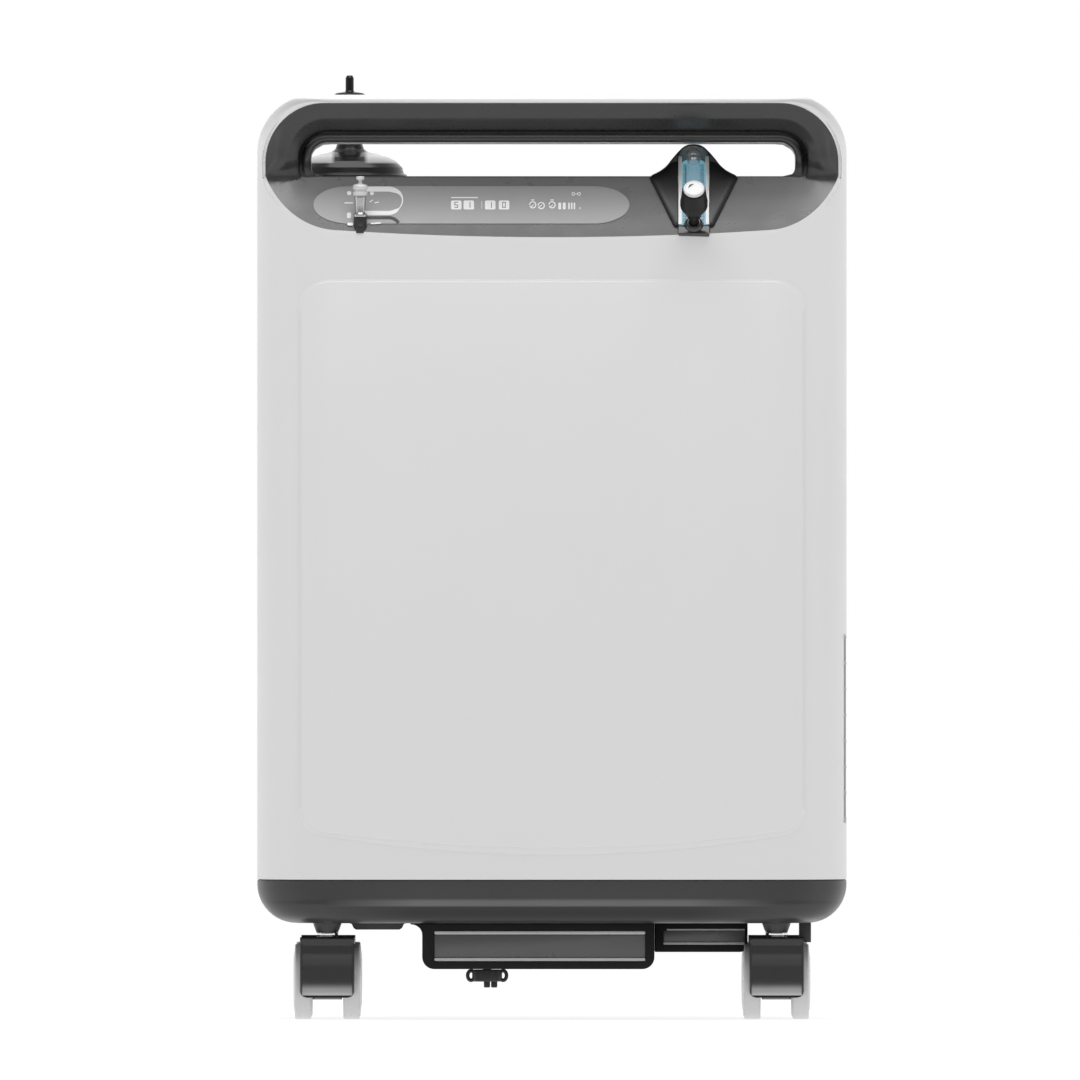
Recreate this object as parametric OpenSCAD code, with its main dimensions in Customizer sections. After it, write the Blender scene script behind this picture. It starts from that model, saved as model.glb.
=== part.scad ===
// Stationary oxygen concentrator on four twin-wheel casters.
// +Z is up, the control side faces -Y, and the floor is z = 0.

/* [Casing] */
// Width of the casing
body_w = 391; // [385:1:400]
// Depth of the casing, without the flow knob
body_d = 280; // [276:1:290]
// Height of the top of the handle over the floor
body_top = 613; // [611:1:616]
// Height of the joint between the shells and the base tray
split_z = 93; // [90:1:96]
// Height of the underside of the base tray
base_z = 64; // [64:1:65]
// Thickness of the casing walls
wall = 3; // [2.5:0.1:3.2]
// Radius of the vertical front corners
corner_r = 54; // [52:1:56]
// Radius of the crown across the front face
crown_r = 2600; // [2300:50:3000]
// Radius of the vertical rear corners
rear_r = 32; // [30:1:34]
// Radius of the top corners, seen from the front
top_r = 38; // [37:1:40]
// Radius of the bottom corners of the base, seen from the front
base_r = 26; // [24:1:27]

/* [Handle and controls] */
// Width of the dark bezel
bezel_w = 380; // [378:1:382]
// Height of the top edge of the bezel over the floor
bezel_top = 607.4; // [606:0.2:608]
// Height of the lower edge of the control slope
slope_z = 518.6; // [517:0.2:520]
// Slope of the control face from horizontal
slope_deg = 50; // [49:0.5:51]
// Lower edge of the hand opening
grip_z = 559.2; // [559:0.1:560]
// Height of the hand opening
grip_h = 22.3; // [21.5:0.1:22.5]
// Depth of the handle from front to back
grip_depth = 70; // [68:1:72]
// Height of the rear deck over the floor
deck_z = 553; // [552:0.5:554]

/* [Casters] */
// Radius of a wheel
wheel_r = 25; // [24:0.5:25]
// Width of one wheel
wheel_w = 12; // [11:0.5:12]
// Gap between the two wheels of a caster
wheel_gap = 21; // [21:0.5:22]
// Distance from the centre plane to a stem
stem_x = 149; // [148:1:150]
// Distance from a stem to the axle behind it
trail = 20; // [19:0.5:20]

/* [Flowmeter and outlet] */
// Distance of the flowmeter from the centre plane
meter_x = 94; // [92:1:96]
// Width of the flowmeter block
meter_w = 21; // [20:0.5:21.5]
// Length of the flowmeter along the slope
meter_len = 78; // [76:0.5:78]
// Distance of the oxygen outlet from the centre plane
outlet_x = -127; // [-128:0.5:-126]
// Distance of the humidifier from the centre plane
bottle_x = -134.9; // [-136:0.1:-134]

/* [Hidden] */
$fn = 64;

// The knob reaches past the front of the casing, and the whole stays centred on Y = 0.
knob_overhang = 28.6;
front_y = -(body_d + knob_overhang) / 2 + knob_overhang;
back_y = front_y + body_d;
half_w = body_w / 2;
grip_back_y = front_y + grip_depth;
seam_y = grip_back_y + body_top - deck_z;
grip_top = grip_z + grip_h;
grip_left = -159.6;
grip_right = 161.3;
grip_low_r = 6;
grip_high_r = 10.6;
bezel_r = 39;
floor_z = base_z + wall;
gap = 0.2;
far = 900;

// ---- Casing outlines ----

corner_x = half_w - corner_r;
crown_y = front_y + crown_r;
corner_y = crown_y - sqrt(pow(crown_r - corner_r, 2) - pow(corner_x, 2));
crown_deg = atan2(corner_y - crown_y, corner_x);

// Points of an arc round a centre, from angle a0 to angle a1.
function arc(centre, r, a0, a1, steps = 8) =
    [for (i = [0:steps]) centre + r * [cos(a0 + (a1 - a0) * i / steps), sin(a0 + (a1 - a0) * i / steps)]];

// Plan outline, drawn in by a wall thickness: crowned front, round corners, flat back.
module plan_outline(inset = 0) {
    rear_x = half_w - rear_r;
    polygon(concat(
        arc([0, crown_y], crown_r - inset, -180 - crown_deg, crown_deg, 24),
        arc([corner_x, corner_y], corner_r - inset, crown_deg + 4, 0, 12),
        arc([rear_x, back_y - rear_r], rear_r - inset, 0, 90),
        arc([-rear_x, back_y - rear_r], rear_r - inset, 90, 180),
        arc([-corner_x, corner_y], corner_r - inset, 180, 176 - crown_deg, 12)
    ));
}

// Rectangle from low to high with its own radius on the lower and the upper corners.
module round_box(low, high, low_r, high_r) {
    polygon(concat(
        arc([low[0] + low_r, low[1] + low_r], low_r, 180, 270),
        arc([high[0] - low_r, low[1] + low_r], low_r, 270, 360),
        arc([high[0] - high_r, high[1] - high_r], high_r, 0, 90),
        arc([low[0] + high_r, high[1] - high_r], high_r, 90, 180)
    ));
}

// Extrudes a front-view outline (x, z) from y0 to y1.
module through_y(y0, y1) {
    translate([0, y1, 0]) rotate([90, 0, 0]) linear_extrude(y1 - y0) children();
}

// Extrudes a side-view outline (y, z) from x0 to x1.
module through_x(x0, x1) {
    translate([x0, 0, 0]) rotate([90, 0, 90]) linear_extrude(x1 - x0) children();
}

// Side outline: full height over the handle, a concave sweep down, then the rear deck.
module side_outline(inset = 0) {
    edge = 8;
    sweep = body_top - deck_z;
    polygon(concat(
        [[front_y + inset, 0], [back_y - inset, 0]],
        arc([back_y - edge, deck_z - edge], edge - inset, 0, 90),
        arc([seam_y, body_top], sweep + inset, 270, 180 + asin(inset / (sweep + inset)), 16),
        arc([front_y + edge, body_top - edge], edge - inset, 90, 180)
    ));
}

// The space inside the outer faces of the casing, drawn in by a thickness.
module casing(inset = 0) {
    intersection() {
        translate([0, 0, split_z]) linear_extrude(body_top - split_z) plan_outline(inset);
        through_y(front_y - 1, back_y + 1)
            round_box([-half_w + inset, 0], [half_w - inset, body_top - inset], 1, top_r - inset);
        through_x(-half_w - 1, half_w + 1) side_outline(inset);
    }
}

// Front-view outline of the bezel.
module bezel_outline(inset = 0) {
    side = bezel_w / 2 - inset;
    round_box([-side, slope_z - 40], [side, bezel_top - inset], 1, bezel_r - inset);
}

// Front-view outline of the hand opening, grown by a margin.
module grip_outline(grow = 0) {
    round_box(
        [grip_left - grow, grip_z - grow], [grip_right + grow, grip_top + grow],
        grip_low_r + grow, grip_high_r + grow
    );
}

// Puts children in the slope's own frame: x across, y up the slope, z out of it.
module on_slope() {
    translate([0, front_y, slope_z]) rotate([slope_deg, 0, 0]) children();
}

// Everything more than drop under the slope's face.
module under_slope(drop = 0) {
    on_slope() translate([-half_w - 5, -60, -far - drop]) cube([body_w + 10, far, far]);
}

// Everything over the slope's face, lowered by drop.
module over_slope(drop = 0) {
    on_slope() translate([-half_w - 5, -60, -drop]) cube([body_w + 10, far, 200]);
}

// The pocket that the flowmeter lies in.
module meter_pocket(grow = 0) {
    depth = 14;
    low = -1;
    on_slope()
        translate([meter_x - meter_w / 2 - grow, low - grow, -depth - grow])
            cube([meter_w + 2 * grow, meter_len + 4 + 2 * grow, 40]);
}

// ---- Front shell ----

grille_y0 = front_y + 44;
grille_y1 = front_y + 120;
grille_z0 = 131;
grille_z1 = 255;

module front_shell() {
    color("gainsboro") difference() {
        intersection() {
            casing();
            translate([-half_w - 1, front_y - 1, split_z]) cube([body_w + 2, seam_y - front_y + 1, far]);
        }
        // Hollow below the handle, and inside both cheeks of its back
        intersection() {
            casing(wall);
            union() {
                translate([-half_w, front_y - 1, 0]) cube([body_w, grip_depth + 1, slope_z]);
                translate([-half_w, grip_back_y, 0]) cube([body_w, far, grip_z - wall]);
                for (x0 = [-half_w, grip_right + wall])
                    translate([x0, grip_back_y, 0]) cube([half_w + grip_left - wall, far, far]);
            }
        }
        linear_extrude(split_z + wall) plan_outline(wall);
        // Seat of the bezel and the handle cover, with a step under the front edge
        intersection() {
            through_y(front_y - 1, grip_back_y) bezel_outline(-gap);
            union() {
                over_slope(rim_t + gap);
                translate([0, 0, slope_z - 1]) linear_extrude(far) plan_outline(wall);
            }
        }
        through_y(front_y - 1, far) grip_outline(gap);
        translate([half_w - 10, grille_y0 - gap, grille_z0 - gap])
            cube([20, grille_y1 - grille_y0 + 2 * gap, grille_z1 - grille_z0 + 2 * gap]);
        meter_pocket(gap);
    }
}

// ---- Front panel: a shallow raised shield on the front face ----

panel_w = 335;
panel_top = 490;
panel_low = 114;
panel_rise = 0.8;
panel_corner_r = 20;
panel_sag_r = 1080;
panel_sag_deg = asin(panel_w / 2 / panel_sag_r);

module front_panel() {
    color("whitesmoke") intersection() {
        difference() {
            translate([0, -panel_rise, 0]) linear_extrude(body_top) plan_outline();
            translate([0, 0, -1]) linear_extrude(far) plan_outline(-0.05);
        }
        through_y(front_y - 5, front_y + 30) polygon(concat(
            arc([0, panel_low + panel_sag_r], panel_sag_r, 270 - panel_sag_deg, 270 + panel_sag_deg, 16),
            arc([panel_w / 2 - panel_corner_r, panel_top - panel_corner_r], panel_corner_r, 0, 90),
            arc([-panel_w / 2 + panel_corner_r, panel_top - panel_corner_r], panel_corner_r, 90, 180)
        ));
    }
}

// ---- Rear shell ----

bottle_y = back_y - 46;
niche_half = 43;
niche_x0 = bottle_x - niche_half;
niche_x1 = bottle_x + niche_half;
niche_y0 = bottle_y - niche_half;
niche_z0 = 392;
door_w = 130;
door_h = 110;
door_x = 30;
door_z = 360;
door_t = 4;
inlet_x = 90;
switch_x = inlet_x - 46;
breaker_x = inlet_x - 80;
inlet_z = 140;
screw_spots = [
    [-165, 120], [165, 120], [-165, 330], [165, 330], [165, 520]
];

module rear_shell() {
    niche_t = 2.4;
    color("gainsboro") difference() {
        union() {
            difference() {
                intersection() {
                    casing();
                    translate([-half_w - 1, seam_y, split_z]) cube([body_w + 2, far, far]);
                }
                intersection() {
                    casing(wall);
                    translate([-half_w, seam_y - 1, 0]) cube([body_w, far, far]);
                }
                linear_extrude(split_z + wall) plan_outline(wall);
            }
            // Walls and floor of the bottle niche
            intersection() {
                casing();
                translate([niche_x0 - niche_t, niche_y0 - niche_t, niche_z0 - niche_t])
                    cube([niche_x1 - niche_x0 + 2 * niche_t, far, far]);
            }
            // Frame round the filter door
            translate([door_x - door_w / 2 - 4, back_y - 26, door_z - 4])
                cube([door_w + 8, 26, door_h + 8]);
            for (spot = screw_spots)
                translate([spot[0], back_y - 12, spot[1]]) rotate([-90, 0, 0]) cylinder(h = 11, r = 7);
        }
        translate([niche_x0, niche_y0, niche_z0]) cube([niche_x1 - niche_x0, far, far]);
        // Seat of the filter door and the air opening behind it
        translate([door_x - door_w / 2, back_y - door_t - 2, door_z])
            cube([door_w, 10, door_h]);
        translate([door_x - door_w / 2 + 8, back_y - 23, door_z + 10])
            cube([door_w - 16, 30, door_h - 16]);
        translate([door_x - door_w / 2 + 14, back_y - 30, door_z + 16])
            cube([door_w - 28, 40, door_h - 28]);
        translate([door_x, hinge_y, hinge_z]) rotate([0, 90, 0])
            cylinder(h = door_w + 6, r = 1.55, center = true);
        translate([door_x - door_w / 2, back_y - 8, door_z]) cube([door_w, 10, 9]);
        // Cut-outs of the inlet, the switch and the breaker
        translate([inlet_x - 14, back_y - 20, inlet_z - 10.5]) cube([28, 40, 21]);
        translate([switch_x - 14, back_y - 20, inlet_z - 14]) cube([28, 40, 28]);
        translate([breaker_x, back_y + 1, inlet_z]) rotate([90, 0, 0]) cylinder(h = 20, r = 4.3);
        for (spot = screw_spots) {
            translate([spot[0], back_y + 1, spot[1]]) rotate([90, 0, 0]) cylinder(h = 4, r = 4.2);
            translate([spot[0], back_y + 1, spot[1]]) rotate([90, 0, 0]) cylinder(h = 20, r = 1.6);
        }
    }
}

// ---- Bezel round the handle, with the control slope ----

bezel_back_y = front_y + 38;
bar_groove_z = 591;
rim_t = 1.2;

module dish_cut() {
    intersection() {
        over_slope();
        hull() {
            translate([0, 0.5, 0]) through_y(front_y - 1, front_y) bezel_outline(0.5);
            through_y(front_y + 24, front_y + 25)
                round_box([-168, slope_z - 60], [168, bar_groove_z], 1, 20);
        }
    }
}

module control_bezel() {
    color("dimgray") difference() {
        intersection() {
            casing();
            through_y(front_y - 1, bezel_back_y) bezel_outline();
            translate([-half_w, front_y - 1, slope_z - 8]) cube([body_w, far, far]);
        }
        dish_cut();
        over_slope_front();
        through_y(front_y - 1, far) grip_outline();
        // Hollow behind the slope
        intersection() {
            under_slope(wall);
            translate([-half_w, front_y - 1, 0]) cube([body_w, far, grip_z - wall]);
        }
        // Hollow of the bar, open to the back
        difference() {
            through_y(front_y + 30, far) bezel_outline(wall);
            through_y(front_y, far) grip_outline(wall);
            translate([-half_w, front_y, 0]) cube([body_w, far, grip_z - wall]);
        }
        meter_pocket(gap);
        // The front edge is a thin rim that rests on the shell
        difference() {
            under_slope(rim_t);
            translate([0, 0, slope_z - 20]) linear_extrude(far) plan_outline(wall + gap);
        }
        outlet_hole();
    }
}

// Trims the bezel where the lower front of the slope is open.
module over_slope_front() {
    intersection() {
        over_slope();
        translate([-bezel_w / 2 + 22, front_y - 1, slope_z - 10])
            cube([bezel_w - 44, 34.5, grip_z - slope_z + 10.5]);
    }
}

module handle_cover() {
    color("dimgray") difference() {
        intersection() {
            through_y(bezel_back_y + 0.1, grip_back_y - 0.1)
                round_box([-bezel_w / 2, grip_z - 12], [bezel_w / 2, bezel_top], 5, bezel_r);
            linear_extrude(far) plan_outline(wall + gap);
        }
        through_y(front_y, far) grip_outline();
        difference() {
            through_y(front_y, grip_back_y - wall) bezel_outline(wall);
            through_y(front_y, far) grip_outline(wall);
            translate([-half_w, front_y, 0]) cube([body_w, far, grip_z - wall - 6]);
        }
        meter_pocket(gap);
    }
}

// ---- Display ----

overlay_x0 = -158.3;
overlay_x1 = 51.5;
overlay_w0 = 10.8;
overlay_w1 = 43.7;

module overlay_shape(inset = 0) {
    end_r = (overlay_w1 - overlay_w0) / 2;
    for (x = [overlay_x0 + end_r, overlay_x1 - end_r])
        translate([x, overlay_w0 + end_r]) circle(end_r - inset);
    translate([overlay_x0 + end_r, overlay_w0 + inset])
        square([overlay_x1 - overlay_x0 - 2 * end_r, 2 * end_r - 2 * inset]);
}

module display_overlay() {
    color("darkgray") difference() {
        on_slope() translate([0, 0, 0.02]) linear_extrude(0.6) overlay_shape();
        outlet_hole(6);
    }
}

module control_board() {
    color("seagreen") on_slope() translate([-95, 12, -12]) {
        cube([130, 28, 1.6]);
        for (i = [0:6]) translate([12 + i * 17, 6, -3]) cube([9, 14, 3.1]);
    }
    color("seagreen") on_slope() for (x = [-88, 28]) for (y = [16, 36])
        translate([x, y, -10.4]) cylinder(h = 10.4 - wall, r = 2.5);
}

// ---- Oxygen outlet ----

outlet_y = front_y + 6.4;
outlet_base_z = slope_z + 7.4;

module outlet_hole(r = 2) {
    translate([outlet_x, outlet_y, slope_z - 10]) cylinder(h = 40, r = r);
}

module oxygen_outlet() {
    color("silver") difference() {
        translate([outlet_x, outlet_y, outlet_base_z]) rotate_extrude() polygon([
            [0, -6], [4.3, -6], [4.3, 6], [4.9, 6.2], [4.9, 8], [3.4, 8.2], [4.2, 20], [0, 20]
        ]);
        under_slope(-0.03);
    }
}

module outlet_tip() {
    z0 = outlet_base_z + 20.1;
    color("white") translate([outlet_x, outlet_y, z0]) rotate_extrude() polygon([
        [0, 0], [4.4, 0], [5, 1.5], [5, 5.6], [4.4, 6.6], [1.2, 7.2], [1.2, 10],
        [2.6, 10.4], [2.75, 11.6], [2.2, 12.6], [0, 12.9]
    ]);
}

// ---- Flowmeter ----

valve_len = 9;
knob_w = 9.1;
meter_face = 2;
tube_r = 4.3;

module at_meter() {
    on_slope() translate([meter_x, 0, 0]) children();
}

module at_knob() {
    at_meter() translate([0, knob_w, meter_face]) children();
}

module cradle_bell() {
    foot = 33;
    top = 11;
    rise = 22;
    flank_r = 30;
    difference() {
        polygon([
            [meter_x - 13.5, grip_z - foot], [meter_x + 13.5, grip_z - foot], [meter_x + 30, grip_z],
            [meter_x + top / 2 + 8, grip_z + rise - 4], [meter_x + top / 2, grip_z + rise - 0.6],
            [meter_x - top / 2, grip_z + rise - 0.6], [meter_x - top / 2 - 8, grip_z + rise - 4],
            [meter_x - 30, grip_z]
        ]);
        for (side = [-1, 1])
            translate([meter_x + side * (flank_r + 11.5), grip_z + flank_r + 0.8]) circle(flank_r);
    }
}

module flowmeter_cradle() {
    color("dimgray") difference() {
        intersection() {
            through_y(front_y + 1, front_y + 33.3) cradle_bell();
            difference() {
                over_slope(-0.05);
                over_slope(-3.5);
            }
        }
        meter_pocket(gap);
    }
    color("dimgray") difference() {
        through_y(front_y + 36, front_y + 66) intersection() {
            cradle_bell();
            translate([meter_x - 40, grip_z + 0.1]) square([80, 22]);
        }
        over_slope(-3.5);
        meter_pocket(gap);
    }
}

module flowmeter_block() {
    depth = 14;
    bore_w0 = valve_len + 5;
    color("lightcyan") at_meter() difference() {
        translate([-meter_w / 2, valve_len, meter_face - depth])
            cube([meter_w, meter_len - valve_len, depth]);
        translate([0, bore_w0, meter_face - 6.5]) rotate([-90, 0, 0]) cylinder(h = far, r = tube_r);
        translate([-meter_w / 2 - 1, valve_len - 1, meter_face - depth - 1])
            cube([meter_w + 2, meter_len - 10, 1 + 2.2]);
        translate([0, valve_len, meter_face + 1]) mirror([0, 0, 1]) cylinder(h = 9, r = 6.1);
    }
}

module flowmeter_scale() {
    color("deepskyblue") at_meter()
        translate([-meter_w / 2 + 1, valve_len + 0.1, meter_face - 13.8])
            cube([meter_w - 2, meter_len - 12, 1.8]);
}

module flowmeter_float() {
    color("white") at_meter() translate([0, 40, meter_face - 6.5]) rotate([-90, 0, 0]) rotate_extrude()
        polygon([[0, 0], [2.4, 0], [tube_r - 0.06, 4], [tube_r - 0.06, 8], [0, 8]]);
}

module flowmeter_valve() {
    color("black") at_meter() difference() {
        union() {
            translate([-meter_w / 2, 0.8, meter_face - 14]) cube([meter_w, valve_len - 0.8, 14]);
            translate([0, knob_w, meter_face - 7.5]) cylinder(h = 7.5, r = 6);
            translate([0, knob_w, meter_face]) cylinder(h = 3, r1 = 6.6, r2 = 4.2);
        }
        translate([0, knob_w, meter_face - 4]) cylinder(h = 20, r = 3.35);
    }
    // Plug at the head of the tube
    color("silver") at_meter() translate([0, meter_len - 9, meter_face - 6.5]) rotate([-90, 0, 0])
        cylinder(h = 8, r = tube_r - 0.02);
}

module flow_knob() {
    color("black") at_knob() rotate_extrude() polygon([
        [0, -3.5], [3.3, -3.5], [3.3, 9], [5.2, 10.5], [5.6, 12.5], [9.25, 20],
        [9.25, 24], [7.9, 35], [7.3, 35.6], [0, 35.6]
    ]);
}

module flow_knob_cap() {
    color("white") at_knob() translate([0, 0, 35.65]) rotate_extrude() polygon([
        [0, 0], [7.1, 0], [7.1, 1.2], [6.6, 1.8], [0, 2.2]
    ]);
}

// ---- Base tray and the boxes under it ----

module tray_volume(inset = 0) {
    intersection() {
        translate([0, 0, base_z + inset]) linear_extrude(split_z - base_z + 1 - inset) plan_outline(inset);
        through_y(front_y - 1, back_y + 1)
            round_box([-half_w + inset, base_z + inset], [half_w - inset, split_z + 40], base_r - inset, 1);
        through_x(-half_w - 1, half_w + 1)
            round_box([front_y + inset, base_z + inset], [back_y - inset, split_z + 40], 14 - inset / 2, 1);
    }
}

box_x0 = -86;
box_x1 = 68;
box_z = 33.5;
box_y0 = front_y + 28;
box_y1 = back_y - 60;

module base_tray() {
    color("dimgray") difference() {
        intersection() {
            tray_volume();
            translate([-half_w, front_y, 0]) cube([body_w, body_d, split_z - 0.1]);
        }
        tray_volume(wall);
        for (spot = caster_spots)
            translate([spot[0], spot[1], base_z - 1]) cylinder(h = 20, r = 8.05);
        // Air ways into the boxes below
        translate([box_x0 + 20, box_y0 + 30, base_z - 1]) cube([110, 90, 20]);
        translate([-43, wing_y, base_z - 1]) cylinder(h = 20, r = 3);
    }
    color("dimgray") {
        translate([-132, front_y + 50, base_z - 4.6]) cube([33, 30, 4.6]);
        translate([164, front_y + 72, base_z - 13]) cube([8, 9, 13.6]);
    }
}

module exhaust_box() {
    color("dimgray") difference() {
        through_y(box_y0, box_y1) difference() {
            union() {
                round_box([box_x0, box_z], [box_x1, base_z - 0.05], 8, 0.5);
                translate([box_x0 - 8, base_z - 8.05]) square([9, 8]);
            }
            translate([box_x0 - 8, base_z - 8.05]) circle(8);
        }
        through_y(box_y0 + wall, box_y1 - wall)
            round_box([box_x0 + wall, box_z + wall], [box_x1 - wall, far], 5, 1);
        translate([box_x0 + 8 - gap, box_y0 - 1, 38.8 - gap])
            cube([box_x1 - box_x0 - 14 + 2 * gap, 2.5, 19.9 + 2 * gap]);
        for (i = [0:11])
            translate([box_x0 + 18 + i * 10.6, box_y1 - 10, box_z + 8]) cube([5, 20, 16]);
        translate([-43, wing_y, 0]) cylinder(h = 60, r = 3);
    }
}

module exhaust_panel() {
    color("gray") translate([box_x0 + 8, box_y0 + 0.6, 38.8]) cube([box_x1 - box_x0 - 14, 0.8, 19.9]);
}

module duct_box() {
    duct_y0 = front_y + 80;
    duct_y1 = front_y + 150;
    color("dimgray") difference() {
        through_y(duct_y0, duct_y1) round_box([box_x1 + 0.3, 44.4], [130, base_z - 0.05], 5, 0.5);
        translate([box_x1 + 3.3, duct_y0 + wall, 47.4]) cube([123.7 - box_x1, duct_y1 - duct_y0 - 6, 30]);
        translate([box_x1 + 6, duct_y0 - 1, 49]) cube([54, 1.8, 11]);
    }
}

wing_y = front_y + 60;

module wing_screw() {
    color("dimgray") translate([-43, wing_y, 0]) {
        translate([0, 0, 28]) cylinder(h = 44, r = 2.9);
        translate([0, 0, 24.5]) cylinder(h = 8.6, r = 10);
        for (side = [-1, 1]) {
            translate([side * 11 - 3.5, -2.5, 25.5]) cube([7, 5, 7]);
            translate([side * 6 - 2, -2, 21]) cube([4, 4, 4]);
        }
    }
}

// ---- Side grille ----

module side_grille() {
    cells = 7;
    pitch = 17.2;
    cell_h = 15.4;
    color("silver") difference() {
        intersection() {
            translate([half_w - 9.8, grille_y0, grille_z0])
                cube([9.8, grille_y1 - grille_y0, grille_z1 - grille_z0]);
            linear_extrude(far) plan_outline();
        }
        translate([half_w - 12, grille_y0 + 4, grille_z0 + 4])
            cube([6, grille_y1 - grille_y0 - 8, grille_z1 - grille_z0 - 8]);
        for (i = [0:cells - 1]) {
            translate([half_w - 2.8, grille_y0 - 1, 134 + i * pitch])
                cube([5, grille_y1 - grille_y0 - 4, cell_h]);
            for (j = [0:6])
                translate([half_w - 12, grille_y0 + 12 + j * 8.4, 136.5 + i * pitch])
                    cube([20, 4, cell_h - 5]);
        }
    }
}

// ---- Casters ----

front_stem_y = front_y + 35;
rear_stem_y = back_y - 60;
caster_spots = [
    [-stem_x, front_stem_y], [stem_x, front_stem_y], [-stem_x, rear_stem_y], [stem_x, rear_stem_y]
];
hood_r = wheel_r + 4.7;
hood_low = 10.6;
stem_r = 5;
axle_r = 3;

module caster_sockets() {
    color("dimgray") for (spot = caster_spots) translate([spot[0], spot[1], 0]) difference() {
        union() {
            translate([0, 0, base_z - 6]) cylinder(h = 5.95, r1 = 7.3, r2 = 9.5);
            translate([0, 0, base_z - 1]) cylinder(h = 35, r = 8);
            translate([0, 0, floor_z + 0.05]) cylinder(h = 4, r = 13);
        }
        translate([0, 0, base_z - 7]) cylinder(h = 38, r = stem_r + 0.05);
    }
}

module caster_collars() {
    color("silver") for (spot = caster_spots) translate([spot[0], spot[1], base_z - 8.3]) difference() {
        cylinder(h = 2.25, r = 7.3);
        translate([0, 0, -1]) cylinder(h = 5, r = stem_r + 0.05);
    }
}

// Side outline of a hood about its axle: square in front of the stem, round behind it.
module hood_side() {
    edge = 2;
    polygon(concat(
        arc([0, 0], hood_r, -150, 90, 32),
        arc([-hood_r + edge, hood_r - edge], edge, 90, 180, 4),
        arc([0, 0], hood_r, 180, 209, 6)
    ));
}

module caster_body(i) {
    x = caster_spots[i][0];
    y = caster_spots[i][1];
    color("black") translate([x, y + trail, wheel_r]) difference() {
        union() {
            // Web between the wheels
            through_x(-wheel_gap / 2 + 0.5, wheel_gap / 2 - 0.5) {
                intersection() {
                    hood_side();
                    polygon([
                        [-40, -hood_low], [-8, -hood_low], [10, -6], [16, 12], [16, 40], [-40, 40]
                    ]);
                }
                circle(12);
            }
            // Mudguard over the inner part of both wheels
            through_x(-18, 18) intersection() {
                difference() {
                    hood_side();
                    circle(wheel_r + 1.2);
                }
                polygon([[-40, -hood_low], [-8, -hood_low], [0, 0], [16, 22], [16, 40], [-40, 40]]);
            }
        }
        rotate([0, 90, 0]) cylinder(h = far, r = axle_r, center = true);
        translate([0, -trail, -2]) cylinder(h = 60, r = stem_r);
    }
    color("silver") translate([x, y, wheel_r - 2]) cylinder(h = base_z + 27 - wheel_r, r = stem_r);
}

module caster_axle(i) {
    color("silver") translate([caster_spots[i][0], caster_spots[i][1] + trail, wheel_r])
        rotate([0, 90, 0]) cylinder(h = wheel_gap + 2 * wheel_w - 1, r = axle_r, center = true);
}

// One wheel: side is -1 for the wheel at lower x and 1 for the other.
module caster_wheel(i, side) {
    color("gainsboro") translate([caster_spots[i][0], caster_spots[i][1] + trail, wheel_r])
        rotate([0, side * 90, 0]) translate([0, 0, wheel_gap / 2]) difference() {
            rotate_extrude($fn = 96) polygon([
                [axle_r + 0.05, 0], [wheel_r - 0.8, 0], [wheel_r, 0.8], [wheel_r, wheel_w - 1.8],
                [wheel_r - 0.8, wheel_w - 1], [wheel_r - 2.4, wheel_w - 1], [wheel_r - 9, wheel_w],
                [axle_r + 0.05, wheel_w]
            ]);
            difference() {
                translate([0, 0, -1]) cylinder(h = 6, r = wheel_r - 4);
                translate([0, 0, -2]) cylinder(h = 10, r = 8);
            }
        }
}

// ---- Humidifier ----

bottle_r = 35;
bottle_z = niche_z0 + 0.2;
lid_z = 540;

module humidifier_bottle() {
    color("lightblue") translate([bottle_x, bottle_y, 0]) rotate_extrude($fn = 96) polygon([
        [0, bottle_z], [bottle_r - 4, bottle_z], [bottle_r, bottle_z + 4], [bottle_r, lid_z - 14],
        [bottle_r - 3, lid_z - 8], [bottle_r - 3, lid_z + 8], [bottle_r - 5, lid_z + 8],
        [bottle_r - 5, lid_z - 9], [bottle_r - 2, lid_z - 15], [bottle_r - 2, bottle_z + 5],
        [bottle_r - 5, bottle_z + 2], [0, bottle_z + 2]
    ]);
}

module humidifier_lid() {
    color("black") translate([bottle_x, bottle_y, 0]) rotate_extrude($fn = 96) polygon([
        [2.55, lid_z + 8.5], [bottle_r - 1.5, lid_z + 8.5], [bottle_r - 2.9, lid_z + 8.5],
        [bottle_r - 2.9, lid_z - 6], [bottle_r + 1.8, lid_z - 6], [bottle_r + 2.4, lid_z + 18],
        [bottle_r + 3.4, lid_z + 20], [bottle_r + 3.4, lid_z + 22], [33, lid_z + 26.5], [26, lid_z + 31],
        [18, lid_z + 33.6], [11, lid_z + 35], [8.8, lid_z + 38], [8.25, lid_z + 42], [8.25, 612],
        [11.5, 612.8], [11.5, 614.6], [9, 616.4], [2.8, 617.2], [2.8, 626.4], [2.0, 627.8],
        [1.2, 628.2], [1.2, 600], [2.55, 600]
    ]);
}

module humidifier_tube() {
    color("whitesmoke") translate([bottle_x, bottle_y, bottle_z + 6]) rotate_extrude() polygon([
        [0, 0], [7, 0], [7, 16], [2.5, 18], [2.5, 600 - bottle_z - 7],
        [1.5, 600 - bottle_z - 7], [1.5, 17], [0, 16]
    ]);
}

// ---- Filter door ----

hinge_y = back_y - 3.2;
hinge_z = door_z + 4.4;

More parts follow.
